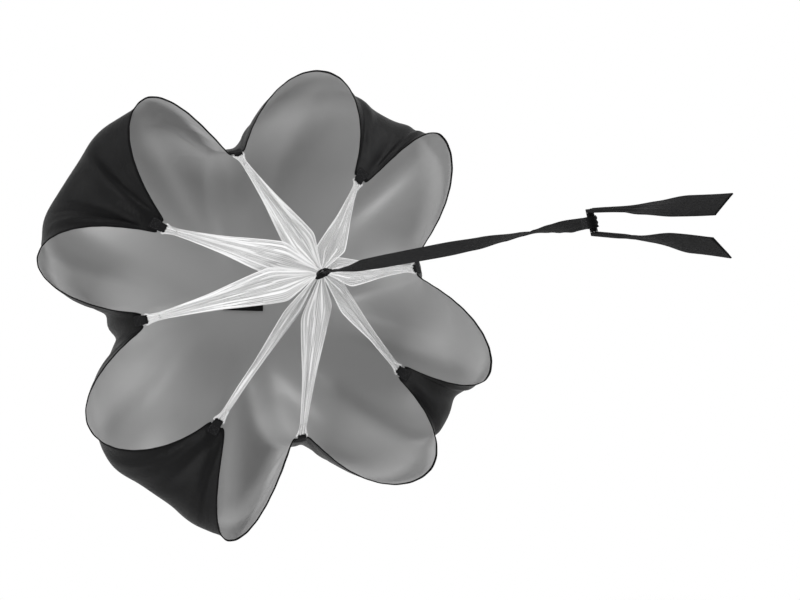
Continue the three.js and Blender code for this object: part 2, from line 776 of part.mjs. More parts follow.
// One half of the belt, gathered to a knuckle on the bight's end, with its closure patch.
function makeBeltArm(name, level, end, twistDegrees, patchName) {
  const startZ = level * (bightHalf + seatGap + knuckleHeight / 2);
  const start = new THREE.Vector3(junctionReach, 0, startZ);
  const finish = new THREE.Vector3(junctionReach + beltArmLength, end[0], end[1]);
  const stations = [];
  for (let i = 0; i <= beltSteps; i += 1) {
    const share = i / beltSteps;
    stations.push({
      centre: start.clone().lerp(finish, share),
      turn: radians(level * tableAt(beltTwistPlaceShares, twistDegrees, share)),
      width: beltWidth * tableAt(beltWidthPlaceShares, beltWidthShares, share),
      thickness: mix(beltNeckThickness, beltThickness, Math.min(share / beltWidthPlaceShares[2], 1)),
    });
  }
  const strip = webbing(stations);
  const knuckle = new THREE.CylinderGeometry(bightRadius, bightRadius, knuckleHeight, 20);
  knuckle.rotateX(Math.PI / 2);
  knuckle.translate(start.x, start.y, start.z);
  const arm = named(`belt_arm_${name}`, fuse([strip, indexed(knuckle)]), webbingBlack());
  return [arm, makePatch(patchName, stations, level)];
}

// A closure patch on the flat end of an arm, on the face turned from the -Y side.
function makePatch(name, stations, level) {
  const last = stations.at(-1);
  const before = stations.at(-3);
  const along = last.centre.clone().sub(before.centre).normalize();
  const wide = new THREE.Vector3(0, Math.cos(last.turn), Math.sin(last.turn));
  wide.addScaledVector(along, -wide.dot(along)).normalize();
  const normal = new THREE.Vector3().crossVectors(along, wide);
  if (normal.y < 0) {
    normal.negate();
  }
  const middle = last.centre.clone()
    .addScaledVector(along, -patchInset - patchLength / 2)
    .addScaledVector(normal, beltThickness / 2 + seatGap + patchThickness / 2);
  const geometry = new THREE.BoxGeometry(patchLength, beltWidth - patchInset, patchThickness);
  const side = new THREE.Vector3().crossVectors(normal, along);
  const matrix = new THREE.Matrix4().makeBasis(along, side, normal).setPosition(middle);
  geometry.applyMatrix4(matrix);
  return named(name, geometry, webbingBlack());
}

export default group();
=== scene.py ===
import math

import bmesh
import bpy
from mathutils import Matrix, Vector


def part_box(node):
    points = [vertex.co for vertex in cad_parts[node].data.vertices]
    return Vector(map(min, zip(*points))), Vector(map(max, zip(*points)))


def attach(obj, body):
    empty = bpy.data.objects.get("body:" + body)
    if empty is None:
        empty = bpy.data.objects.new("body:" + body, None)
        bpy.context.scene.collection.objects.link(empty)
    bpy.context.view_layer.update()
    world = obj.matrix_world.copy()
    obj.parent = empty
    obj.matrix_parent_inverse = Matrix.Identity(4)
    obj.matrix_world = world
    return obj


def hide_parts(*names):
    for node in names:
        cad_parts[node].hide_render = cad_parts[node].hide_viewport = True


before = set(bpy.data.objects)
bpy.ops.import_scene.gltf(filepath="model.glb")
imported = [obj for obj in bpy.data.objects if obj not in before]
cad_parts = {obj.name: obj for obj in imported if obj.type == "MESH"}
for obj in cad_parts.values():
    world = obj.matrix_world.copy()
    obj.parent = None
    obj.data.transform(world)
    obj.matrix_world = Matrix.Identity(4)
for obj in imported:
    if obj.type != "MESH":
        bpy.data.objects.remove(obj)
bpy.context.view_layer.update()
scene = bpy.context.scene
fullTurn = 2 * math.pi
xAxis, yAxis, zAxis = Vector((1, 0, 0)), Vector((0, 1, 0)), Vector((0, 0, 1))

# Camera
cameraSettings = {
    "place": (5.178, -1.253, 0.040),
    "right": (0.26029631, 0.94147673, -0.21416676),
    "up": (0.03257518, 0.21312348, 0.97648207),
    "back": (0.96497911, -0.2611512, 0.02480648),
    "lens": 112.5,  # millimetres, on the sensor below
    "sensor": 36.0,
    "farthest": 60,
}


def makeCamera():
    s = cameraSettings
    data = bpy.data.cameras.new("camera")
    data.lens = s["lens"]
    data.sensor_width = s["sensor"]
    data.clip_end = s["farthest"]
    camera = bpy.data.objects.new("camera", data)
    scene.collection.objects.link(camera)
    camera.location = s["place"]
    camera.rotation_mode = "QUATERNION"
    camera.rotation_quaternion = Matrix((s["right"], s["up"], s["back"])).transposed().to_quaternion()
    scene.camera = camera


makeCamera()
print("camera made")


# Sums that every piece shares
def mix(a, b, share):
    return a + (b - a) * share


def clamp(value, low=0.0, high=1.0):
    return max(low, min(high, value))


def smooth(value):
    value = clamp(value)
    return value * value * (3 - 2 * value)


# Which step of a table a place falls in, and how far through it
def stepAt(places, place):
    i = 1
    while i < len(places) - 1 and place > places[i]:
        i += 1
    return i, (place - places[i - 1]) / (places[i] - places[i - 1])


# The table's value there, with straight steps, with steps that start and end level, or with one curve
def lineAt(places, values, place):
    i, share = stepAt(places, place)
    return mix(values[i - 1], values[i], share)


def levelAt(places, values, place):
    i, share = stepAt(places, place)
    return mix(values[i - 1], values[i], smooth(share))


def curveAt(places, values, place):
    i, t = stepAt(places, place)
    low, high = max(i - 2, 0), min(i + 1, len(places) - 1)
    run = places[i] - places[i - 1]
    startSlope = (values[i] - values[low]) / (places[i] - places[low]) * run
    endSlope = (values[high] - values[i - 1]) / (places[high] - places[i - 1]) * run
    rise = values[i] - values[i - 1]
    squared = 3 * rise - 2 * startSlope - endSlope
    cubed = startSlope + endSlope - 2 * rise
    return values[i - 1] + startSlope * t + squared * t ** 2 + cubed * t ** 3


# A smooth curve through points, at a place counted in points
def curveThrough(points, place, closed):
    count = len(points)
    i = int(place) if closed else math.floor(place)  # a closed path's start leans on its first step
    t = place - i
    a, b, c, d = (points[j % count if closed else clamp(j, 0, count - 1)] for j in range(i - 1, i + 3))
    squared = 2 * a - 5 * b + 4 * c - d
    cubed = 3 * b - a - 3 * c + d
    return 0.5 * (2 * b + (c - a) * t + squared * t ** 2 + cubed * t ** 3)


# Directions across and through a flat webbing that runs along X, turned about its length
def turnedPair(turn):
    return Vector((0, math.cos(turn), math.sin(turn))), Vector((0, -math.sin(turn), math.cos(turn)))


# A grid of faces, each corner placed by its shares across and along, with a UV map in metres
def gridMesh(columns, rows, placeAt, uvAt):
    mesh = bmesh.new()
    uvLayer = mesh.loops.layers.uv.new("UVMap")
    bmesh.ops.create_grid(mesh, x_segments=columns, y_segments=rows, size=0.5)
    shares = {v: (v.co.x + 0.5, v.co.y + 0.5) for v in mesh.verts}
    for face in mesh.faces:
        for loop in face.loops:
            loop[uvLayer].uv = uvAt(*shares[loop.vert])
    for vertex, (across, along) in shares.items():
        vertex.co = placeAt(across, along)
    return mesh


# UV places of a flat piece of that width and length
def flatUv(width, length):
    return lambda across, along: ((across - 0.5) * width, along * length)


# A grid closed round its section. Open ends are capped.
def sleeveMesh(columns, rows, placeAt, uvAt):
    mesh = gridMesh(columns, rows, placeAt, uvAt)
    bmesh.ops.remove_doubles(mesh, verts=mesh.verts, dist=1e-6)
    ends = [e for e in mesh.edges if e.is_boundary]
    if ends:
        bmesh.ops.holes_fill(mesh, edges=ends, sides=0)
    bmesh.ops.recalc_face_normals(mesh, faces=mesh.faces)
    return mesh


# A strip whose length follows a profile of point pairs
def stripMesh(profile, columns, width, placeAt, lengthAt):
    last = len(profile) - 1
    return gridMesh(columns, last, lambda a, b: placeAt(a, *profile[round(b * last)]),
                    lambda a, b: ((a - 0.5) * width, lengthAt(b)))


strandSettings = {
    "columns": 24,
    "ridgeHeight": 0.08,
    "fit": 0.93,  # middle radius against the solid's
    "uvGirth": 0.02,
    "uvLength": 0.05,
    "slopeStep": 0.01,
    "overrun": 0.02,
}


# Webbing gathered to a strand that follows a path of points
def pathMesh(points, normal, columns, rows, uvLength, radiusAt, closed=False):
    s = strandSettings
    last = len(points) if closed else len(points) - 1

    def centreAt(share):
        if not closed:
            share = clamp(share, -s["overrun"], 1 + s["overrun"])
        return curveThrough(points, share * last, closed)

    def placeAt(around, share):
        forward = (centreAt(share + s["slopeStep"]) - centreAt(share - s["slopeStep"])).normalized()
        across = normal.cross(forward).normalized()
        turn = fullTurn * around
        return centreAt(share) + (across * math.cos(turn) + normal * math.sin(turn)) * radiusAt(turn, share)

    return sleeveMesh(columns, rows, placeAt, flatUv(s["uvGirth"], uvLength))


def strandMesh(points, normal, radius, rows, ridges=6):
    s = strandSettings

    def radiusAt(turn, share):
        return radius * s["fit"] * (1 + s["ridgeHeight"] * math.sin(ridges * turn))

    return pathMesh(points, normal, s["columns"], rows, s["uvLength"], radiusAt)


def addWall(piece, thickness, insideSlot=0):
    wall = piece.modifiers.new("wall", "SOLIDIFY")
    wall.thickness = thickness
    wall.offset = 0
    wall.material_offset = insideSlot
    wall.material_offset_rim = insideSlot


# The mesh as an object on its body, with a wall for a sheet, and in place of a solid if one is named
def newPiece(name, mesh, material, body, wall=0, node=None):
    data = bpy.data.meshes.new(name)
    mesh.to_mesh(data)
    mesh.free()
    data.shade_smooth()
    data.materials.append(material)
    piece = bpy.data.objects.new(name, data)
    scene.collection.objects.link(piece)
    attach(piece, body)
    if wall:
        addWall(piece, wall)
    if node:
        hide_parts(node)
    return piece


# Small sewn stitches, each a slim bead lying on the cloth
stitchSettings = {"length": 0.0032, "width": 0.0007, "height": 0.0005, "pitch": 0.0045}


def addStitches(mesh, start, end, normal):
    s = stitchSettings
    run = end - start
    count = max(1, int(run.length / s["pitch"]))
    along = run.normalized()
    across = normal.cross(along).normalized()
    turn = Matrix((along, across, normal.normalized())).transposed()
    size = Matrix.Diagonal((s["length"], s["width"], s["height"], 1))
    for i in range(count):
        place = start + run * ((i + 0.5) / count)
        at = Matrix.Translation(place) @ turn.to_4x4() @ size
        bmesh.ops.create_uvsphere(mesh, u_segments=6, v_segments=4, radius=0.5, matrix=at)


# A crossed box of stitches on one or both faces of a sewn webbing, over those shares of its size
def sewBox(name, body, centre, axes, lift, size, shares, faces=(1, -1)):
    mesh = bmesh.new()
    along, across, normal = axes
    length, width = size[0] * shares[0], size[1] * shares[1]
    for face in faces:
        middle = centre + normal * (lift * face)
        corners = [middle + along * (length / 2 * a) + across * (width / 2 * b)
                   for a, b in ((-1, -1), (1, -1), (1, 1), (-1, 1))]
        for a, b in ((0, 1), (1, 2), (2, 3), (3, 0), (0, 2), (1, 3)):
            addStitches(mesh, corners[a], corners[b], normal * face)
    newPiece(name, mesh, threadBlack, body)


# Materials
def newMaterial(name, values):
    material = bpy.data.materials.new(name)
    material.use_nodes = True
    tree = material.node_tree
    shader = tree.nodes["Principled BSDF"]
    for socket, value in values.items():
        shader.inputs[socket].default_value = value
    return material, tree, shader


def newGroup(name, inputs, outputs):
    tree = bpy.data.node_groups.new(name, "ShaderNodeTree")
    tree.interface.new_socket("Vector", in_out="INPUT", socket_type="NodeSocketVector")
    for label, value in inputs.items():
        socket = tree.interface.new_socket(label, in_out="INPUT", socket_type="NodeSocketFloat")
        socket.default_value = value
    for label in outputs:
        tree.interface.new_socket(label, in_out="OUTPUT", socket_type="NodeSocketFloat")
    return tree, tree.nodes.new("NodeGroupInput").outputs, tree.nodes.new("NodeGroupOutput")


def feed(node, label, output):
    node.id_data.links.new(output, node.inputs[label])


def mathNode(tree, operation, *values):
    node = tree.nodes.new("ShaderNodeMath")
    node.operation = operation
    for i, value in enumerate(values):
        if isinstance(value, (int, float)):
            node.inputs[i].default_value = value
        else:
            feed(node, i, value)
    return node.outputs[0]


def noiseNode(tree, vector, scale, detail=2.0):
    node = tree.nodes.new("ShaderNodeTexNoise")
    node.inputs["Scale"].default_value = scale
    node.inputs["Detail"].default_value = detail
    feed(node, "Vector", vector)
    return node.outputs[0]


def splitVector(tree, vector):
    node = tree.nodes.new("ShaderNodeSeparateXYZ")
    feed(node, 0, vector)
    return node.outputs


# A sine wave along one coordinate
def waveNode(tree, coordinate, perMetre, turn):
    turns = mathNode(tree, "MULTIPLY", coordinate, perMetre)
    return mathNode(tree, "SINE", mathNode(tree, "MULTIPLY", turns, turn))


def colourBetween(tree, share, low, high):
    node = tree.nodes.new("ShaderNodeMix")
    node.data_type = "RGBA"
    node.inputs["A"].default_value = (*low, 1)
    node.inputs["B"].default_value = (*high, 1)
    feed(node, "Factor", share)
    return node.outputs["Result"]


def bumpFrom(tree, height, strength, distance):
    node = tree.nodes.new("ShaderNodeBump")
    node.inputs["Strength"].default_value = strength
    node.inputs["Distance"].default_value = distance
    feed(node, "Height", height)
    return node.outputs[0]


def coordinatesOf(tree, kind):
    return tree.nodes.new("ShaderNodeTexCoord").outputs[kind]


def placed(tree, group, vector, values):
    node = tree.nodes.new("ShaderNodeGroup")
    node.node_tree = group
    feed(node, "Vector", vector)
    for label, value in values.items():
        node.inputs[label].default_value = value
    return node.outputs


weaveLooks = {
    "fibresPerMetre": 1400.0,
    "patchesPerMetre": 45.0,
    "detail": 3.0,
    "fibreHeight": 0.45,  # against the ribs
    "fibreSink": -0.2,
    "ribShade": 0.35,
    "fibreShade": 0.3,
    "patchShade": 0.45,
}


# Herringbone ribs of woven webbing, with loose yarn fibres
def makeWeaveGroup():
    s = weaveLooks
    inputs = {"Ribs per metre": 520.0, "Chevron": 0.0031}
    tree, given, result = newGroup("webbingWeave", inputs, ("Shade", "Height"))
    axes = splitVector(tree, given["Vector"])
    zigzag = mathNode(tree, "PINGPONG", axes[0], given["Chevron"])
    wave = waveNode(tree, mathNode(tree, "ADD", axes[1], zigzag), given["Ribs per metre"], fullTurn)
    lifted = mathNode(tree, "MULTIPLY_ADD", wave, 0.5, 0.5)
    fibres = noiseNode(tree, given["Vector"], s["fibresPerMetre"], s["detail"])
    patches = noiseNode(tree, given["Vector"], s["patchesPerMetre"], s["detail"])
    fine = mathNode(tree, "MULTIPLY_ADD", fibres, s["fibreHeight"], s["fibreSink"])
    feed(result, "Height", mathNode(tree, "ADD", lifted, fine))
    shade = mathNode(tree, "MULTIPLY", fibres, s["fibreShade"])
    shade = mathNode(tree, "MULTIPLY_ADD", lifted, s["ribShade"], shade)
    feed(result, "Shade", mathNode(tree, "MULTIPLY_ADD", patches, s["patchShade"], shade))
    return tree


creaseLooks = {"detail": 3.0, "distortion": 0.6, "patchesPerMetre": 5.0, "patchDetail": 4.0}


# Plain-woven cloth: its threads, soft creases and slow changes of shade
def makeClothGroup():
    s = creaseLooks
    inputs = {"Threads per metre": 900.0, "Creases per metre": 9.0}
    tree, given, result = newGroup("clothWeave", inputs, ("Threads", "Creases", "Shade"))
    axes = splitVector(tree, given["Vector"])
    waves = [waveNode(tree, axes[i], given["Threads per metre"], fullTurn) for i in (0, 1)]
    feed(result, "Threads", mathNode(tree, "MULTIPLY", *waves))
    creaseNoise = tree.nodes.new("ShaderNodeTexNoise")
    creaseNoise.inputs["Detail"].default_value = s["detail"]
    creaseNoise.inputs["Distortion"].default_value = s["distortion"]
    feed(creaseNoise, "Vector", given["Vector"])
    feed(creaseNoise, "Scale", given["Creases per metre"])
    fromMiddle = mathNode(tree, "SUBTRACT", creaseNoise.outputs[0], 0.5)
    feed(result, "Creases", mathNode(tree, "ABSOLUTE", fromMiddle))
    feed(result, "Shade", noiseNode(tree, given["Vector"], s["patchesPerMetre"], s["patchDetail"]))
    return tree


# Open net: how much of each spot the thread covers
def makeNetGroup():
    tree, given, result = newGroup("netMesh", {"Holes per metre": 480.0, "Hole size": 0.5}, ("Cover",))
    axes = splitVector(tree, given["Vector"])
    waves = [waveNode(tree, axes[i], given["Holes per metre"], math.pi) for i in (0, 1)]
    openness = mathNode(tree, "MULTIPLY", *(mathNode(tree, "ABSOLUTE", wave) for wave in waves))
    feed(result, "Cover", mathNode(tree, "GREATER_THAN", given["Hole size"], openness))
    return tree


weaveGroup = makeWeaveGroup()
clothGroup = makeClothGroup()
netGroup = makeNetGroup()

clothLooks = {
    "threadHeight": 0.02,  # against the creases
    "roughness": 0.3,  # in the darkest spots
    "clothBlack": {
        "specular": 0.08,
        "creases": 14.0,
        "dark": (0.002, 0.002, 0.0021),
        "light": (0.006, 0.006, 0.0063),
        "roughnessRise": 0.2,
        "bump": (0.55, 0.006),  # strength and height
    },
    "clothGrey": {
        "specular": 0.72,
        "creases": 7.0,
        "dark": (0.300, 0.300, 0.300),
        "light": (0.335, 0.335, 0.335),
        "roughnessRise": 0.12,
        "bump": (0.22, 0.005),
    },
}


def makeCloth(name):
    shared, s = clothLooks, clothLooks[name]
    material, tree, shader = newMaterial(name, {"Specular IOR Level": s["specular"]})
    weave = placed(tree, clothGroup, coordinatesOf(tree, "UV"), {"Creases per metre": s["creases"]})
    feed(shader, "Base Color", colourBetween(tree, weave["Shade"], s["dark"], s["light"]))
    rough = mathNode(tree, "MULTIPLY_ADD", weave["Shade"], s["roughnessRise"], shared["roughness"])
    feed(shader, "Roughness", rough)
    height = mathNode(tree, "MULTIPLY_ADD", weave["Threads"], shared["threadHeight"], weave["Creases"])
    feed(shader, "Normal", bumpFrom(tree, height, *s["bump"]))
    return material


webbingLooks = {
    "specular": 0.04,
    "bump": (0.7, 0.0006),
    # roughness, ribs per metre, dark and light colour
    "tapeBlack": (0.6, 900.0, (0.002, 0.002, 0.002), (0.008, 0.008, 0.0084)),
    "webbingBlack": (0.62, 520.0, (0.002, 0.002, 0.0021), (0.014, 0.014, 0.0147)),
}


def makeWebbing(name):
    s = webbingLooks
    roughness, ribs, dark, light = s[name]
    values = {"Roughness": roughness, "Specular IOR Level": s["specular"]}
    material, tree, shader = newMaterial(name, values)
    weave = placed(tree, weaveGroup, coordinatesOf(tree, "UV"), {"Ribs per metre": ribs})
    feed(shader, "Base Color", colourBetween(tree, weave["Shade"], dark, light))
    feed(shader, "Normal", bumpFrom(tree, weave["Height"], *s["bump"]))
    return material


netSettings = {
    "width": 0.060,  # flat width of the net that each strap is gathered from
    "selvage": 0.004,
    "holesPerMetre": 480.0,
    "streakScale": (210.0, 3.0, 1.0),  # streaks per metre across, along and through
    "streakDetail": 3.0,
    "roughness": 0.65,
    "specular": 0.2,
    "bump": (0.6, 0.0015),
    "dark": (0.48, 0.48, 0.48),
    "light": (0.72, 0.72, 0.72),
    # size of the holes, and how much of the net isn't folded double
    "netWhite": (0.42, 0.53),
    # The same net, drawn more open and less often folded double, so the straps that use it read greyer
    # against the cloth: painted shade, as the real straps are all alike.
    "netShadedThin": (0.24, 0.60),
}


def makeNet(name):
    s = netSettings
    holeSize, singleShare = s[name]
    values = {"Roughness": s["roughness"], "Specular IOR Level": s["specular"]}
    material, tree, shader = newMaterial(name, values)
    vector = coordinatesOf(tree, "UV")
    net = placed(tree, netGroup, vector, {"Holes per metre": s["holesPerMetre"], "Hole size": holeSize})
    scaled = tree.nodes.new("ShaderNodeVectorMath")
    scaled.operation = "MULTIPLY"
    scaled.inputs[1].default_value = s["streakScale"]
    feed(scaled, 0, vector)
    streaks = noiseNode(tree, scaled.outputs[0], 1.0, s["streakDetail"])
    folded = mathNode(tree, "GREATER_THAN", streaks, singleShare)
    fromMiddle = mathNode(tree, "ABSOLUTE", splitVector(tree, vector)[0])
    selvage = mathNode(tree, "GREATER_THAN", fromMiddle, s["width"] / 2 - s["selvage"])
    cover = mathNode(tree, "MAXIMUM", mathNode(tree, "MAXIMUM", net["Cover"], folded), selvage)
    feed(shader, "Alpha", cover)
    feed(shader, "Base Color", colourBetween(tree, streaks, s["dark"], s["light"]))
    feed(shader, "Normal", bumpFrom(tree, streaks, *s["bump"]))
    return material


threadLooks = {
    "roughness": 0.6,
    "specular": 0.35,
    "grain": 2500.0,
    "dark": (0.012, 0.012, 0.013),
    "light": (0.035, 0.035, 0.037),
    "bump": (0.5, 0.0002),
}


def makeThread():
    s = threadLooks
    values = {"Roughness": s["roughness"], "Specular IOR Level": s["specular"]}
    material, tree, shader = newMaterial("threadBlack", values)
    grain = noiseNode(tree, coordinatesOf(tree, "Object"), s["grain"])
    feed(shader, "Base Color", colourBetween(tree, grain, s["dark"], s["light"]))
    feed(shader, "Normal", bumpFrom(tree, grain, *s["bump"]))
    return material


closureLooks = {
    "roughness": 0.85,
    "specular": 0.25,
    "fuzzScale": 0.7,  # against the spots'
    "fuzzDetail": 4.0,
    "bump": (0.9, 0.0012),
    # spots per metre, dark and light colour
    "hookBlack": (620.0, (0.008, 0.008, 0.008), (0.03, 0.03, 0.031)),
    "loopBlack": (380.0, (0.012, 0.012, 0.012), (0.045, 0.045, 0.046)),
}


def makeClosure(name):
    s = closureLooks
    scale, dark, light = s[name]
    values = {"Roughness": s["roughness"], "Specular IOR Level": s["specular"]}
    material, tree, shader = newMaterial(name, values)
    coordinates = coordinatesOf(tree, "Object")
    spots = tree.nodes.new("ShaderNodeTexVoronoi")
    spots.inputs["Scale"].default_value = scale
    feed(spots, "Vector", coordinates)
    fuzz = noiseNode(tree, coordinates, scale * s["fuzzScale"], s["fuzzDetail"])
    feed(shader, "Base Color", colourBetween(tree, fuzz, dark, light))
    height = mathNode(tree, "SUBTRACT", fuzz, spots.outputs["Distance"])
    feed(shader, "Normal", bumpFrom(tree, height, *s["bump"]))
    return material


clothBlack, clothGrey = makeCloth("clothBlack"), makeCloth("clothGrey")
tapeBlack, webbingBlack = makeWebbing("tapeBlack"), makeWebbing("webbingBlack")
netWhite, netShadedThin = makeNet("netWhite"), makeNet("netShadedThin")
threadBlack = makeThread()
hookBlack, loopBlack = makeClosure("hookBlack"), makeClosure("loopBlack")
print("materials made")


# Tether: one webbing from the hub's eye to the belt's loop, turned about its own length as it runs
tetherSettings = {
    "width": 0.025,
    "thickness": 0.0018,
    "start": 0.0663,
    "end": 1.6572,
    "turnPlaces": (0, 0.04, 0.18, 0.33, 0.5, 0.66, 0.78, 0.84, 0.88, 0.92, 1),
    "turnDegrees": (0, 10, 62, 88, 84, 50, 20, 6, -20, -38, -90),
    "gatherFrom": 0.93,
    "gathered": 0.70,  # width at the sewn end against the full width
    "foldHeight": 0.0009,
    "folds": 2.5,
    "edgeCurl": 0.0006,
    "curlTurn": 9,
    "columns": 16,
    "rows": 260,
    "pathPoints": 32,
}


def makeTether():
    s = tetherSettings
    length = s["end"] - s["start"]

    def placeAt(across, along):
        wide, thick = turnedPair(math.radians(levelAt(s["turnPlaces"], s["turnDegrees"], along)))
        gathering = smooth((along - s["gatherFrom"]) / (1 - s["gatherFrom"]))
        width = s["width"] * mix(1, s["gathered"], gathering)
        curl = s["edgeCurl"] * (2 * across - 1) ** 4 * math.sin(s["curlTurn"] * along)
        curl += s["foldHeight"] * gathering * math.cos(fullTurn * s["folds"] * across)
        return xAxis * mix(s["start"], s["end"], along) + wide * (width * (across - 0.5)) + thick * curl

    mesh = gridMesh(s["columns"], s["rows"], placeAt, flatUv(s["width"], length))
    return newPiece("tetherWebbing", mesh, webbingBlack, "tether", s["thickness"], "tether")


tether = makeTether()
print("tether made")


# Canopy: a square cloth pulled into eight lobes by the tabs at its corners and the middles of its sides.
# Tuples of eight go round by lobe or notch from the corner at the upper left.
# Tuples of four go round by corner or by side.
canopyShape = {
    "side": 1.372,  # the flat cloth
    "thickness": 0.0012,
    "segments": 176,
    "smoothPasses": 16,
    "smoothFrom": 0.975,  # share of the way from the apex to the rim
    "smoothStep": 0.010,
    "axisY": 0.005,
    "axisZ": -0.038,
    "apexSetback": 0.950,
    "strapReach": 0.600,
    "firstNotch": 135,  # degrees
    "notchStep": 45,
    "notchRadius": 0.335,
    "notchFlat": 0.034,
    "notchTurns": (2.3, 4.2, -2.0, -0.5, 0.7, -5.4, 4.4, -3.0),
    "notchRadiusShares": (0.967, 1.042, 1.015, 0.991, 0.997, 0.985, 1.0, 0.982),
    "lobeRadius": 0.556,
    "lobeSetback": 0.575,
    "lobeRadiusShares": (1.0, 0.996, 1.025, 1.007, 1.006, 1.04, 0.955, 1.012),
    "lobePeakShares": (0.58, 0.56, 0.4, 0.6, 0.4, 0.52, 0.49, 0.42),
    "lobeRisePowers": (1.2, 1.1, 1.3, 1.35, 0.85, 1.3, 0.85, 0.75),
    "lobeFallPowers": (1.1, 0.85, 1.4, 0.95, 1.25, 1.8, 1.2, 1.0),
    "lobeSwings": (-1.3, -2.4, 5.5, -4.7, 4.9, 0, -0.4, -1.8),
    "lobeSweep": 78,
    "flarePower": 8,
    "bodyRadii": (0.549, 0.534, 0.530, 0.533),
    "bodyReachPower": 7,
    "panelBlend": 0.20,
    # how far the cloth lies inside the round form, beside a lobe's tip and beside its corner
    "tipFlats": (-0.018, -0.008, -0.018, -0.016, 0.013, -0.032, -0.017, -0.012),
    "tipFlatPower": 0.6,
    "cornerFlats": (0.002, -0.0025, -0.022, 0.012, -0.011, -0.007, 0.0065, -0.004),
    "cornerFlatPower": 3,
    "midsideSweeps": (113, 127, 117, 131),
    "midsideBlendPower": 0.45,
    "roundFlatness": 1.0,
    "midsideFlatness": 0.62,
}
notchCount = 8
halfSide = canopyShape["side"] / 2


def notchAngle(k):
    return math.radians(canopyShape["firstNotch"] - canopyShape["notchStep"] * k)


def notchPlace(index):
    c = canopyShape
    k = index % notchCount
    angle = notchAngle(index) + math.radians(c["notchTurns"][k])
    radius = c["notchRadius"] * c["notchRadiusShares"][k]
    y = c["axisY"] + radius * math.cos(angle)
    z = c["axisZ"] + radius * math.sin(angle)
    corner = 1 - k % 2
    return {
        "angle": angle,
        "radius": radius,
        "x": -math.sqrt(c["strapReach"] ** 2 - y * y - z * z),
        "corner": corner,
        "flatness": mix(c["midsideFlatness"], c["roundFlatness"], corner),
        "halfFlat": c["notchFlat"] / 2 / radius,
    }


notchPlaces = {index: notchPlace(index) for index in range(-1, notchCount + 2)}


# How far a lobe stands out there, from 0 at a notch to 1 at its tip, and how far round from the tip that is
def lobeWeight(lobe, across):
    c = canopyShape
    peak = c["lobePeakShares"][lobe]
    rising = across < peak
    share = across / peak if rising else (1 - across) / (1 - peak)
    power = c["lobeRisePowers"][lobe] if rising else c["lobeFallPowers"][lobe]
    return math.sin(math.pi / 2 * max(share, 0)) ** power, 1 - share, rising


# A point of the cloth: across goes over a lobe from notch to notch, and along from the apex to the rim
def lobePoint(index, across, along):
    c = canopyShape
    lobe = index % notchCount
    a, b = notchPlaces[index], notchPlaces[index + 1]
    weight, fromTip, rising = lobeWeight(lobe, across)
    between = {key: mix(a[key], b[key], across) for key in ("radius", "x", "corner", "flatness")}
    lobeRim = c["lobeRadius"] * c["lobeRadiusShares"][lobe]
    rimRadius = mix(between["radius"], lobeRim, weight)
    rimX = mix(between["x"], -c["lobeSetback"], weight)
    panelShare = smooth(fromTip / c["panelBlend"]) if (a if rising else b)["corner"] else 0.0
    aside = clamp(fromTip)
    bodyRadius = mix(c["bodyRadii"][math.ceil(lobe / 2) % 4], lobeRim, weight ** c["bodyReachPower"])
    bodyRadius -= c["tipFlats"][lobe] * panelShare * math.sin(math.pi * aside ** c["tipFlatPower"])
    bodyRadius -= c["cornerFlats"][lobe] * panelShare * math.sin(math.pi * aside ** c["cornerFlatPower"])
    lobeSweep = math.radians(c["lobeSweep"])
    midsideSweep = math.radians(c["midsideSweeps"][(lobe | 1) // 2])
    flare = (math.pi / 2 - lobeSweep) * weight ** c["flarePower"]
    cornerSweep = math.pi - math.asin(min(rimRadius / bodyRadius, 1)) - flare
    midsideSweep = mix(midsideSweep, lobeSweep, weight ** c["midsideBlendPower"])
    sweep = mix(midsideSweep, cornerSweep, mix(between["corner"] ** 2, 1.0, panelShare))
    flatness = mix(between["flatness"], c["roundFlatness"], math.sqrt(weight))
    depth = (c["apexSetback"] + rimX) / (1 - math.cos(sweep))
    turn = sweep * along
    radius = rimRadius * max(math.sin(turn) / math.sin(sweep), 0) ** flatness
    swing = math.radians(c["lobeSwings"][lobe]) * weight * along
    angle = mix(a["angle"] - a["halfFlat"], b["angle"] + b["halfFlat"], across) + swing
    return Vector((
        -c["apexSetback"] + depth * (1 - math.cos(turn)),
        c["axisY"] + radius * math.cos(angle),
        c["axisZ"] + radius * math.sin(angle),
    ))


# The inflated place of a point of the flat square
def clothPlace(u, v):
    c = canopyShape
    along = max(abs(u), abs(v)) / halfSide
    if along < 1e-6:
        return lobePoint(0, 0, 0)
    steps = (c["firstNotch"] - math.degrees(math.atan2(v, u))) % 360 / c["notchStep"]
    lobe = int(steps) % notchCount
    part = steps - int(steps)
    if lobe % 2 == 0:
        across = 1 - math.tan(math.radians(c["notchStep"] * (1 - part)))
    else:
        across = math.tan(math.radians(c["notchStep"] * part))
    flat = c["notchFlat"] / 2 / halfSide
    if across < flat:
        return lobePoint(lobe - 1, 1, along).lerp(lobePoint(lobe, 0, along), 0.5 + across / flat / 2)
    if across > 1 - flat:
        return lobePoint(lobe, 1, along).lerp(lobePoint(lobe + 1, 0, along), (across - 1 + flat) / flat / 2)
    return lobePoint(lobe, (across - flat) / (1 - 2 * flat), along)


# Where a notch lies on the flat square
def notchFlatPlace(k):
    angle = notchAngle(k)
    reach = halfSide / max(abs(math.cos(angle)), abs(math.sin(angle)))
    return reach * math.cos(angle), reach * math.sin(angle)


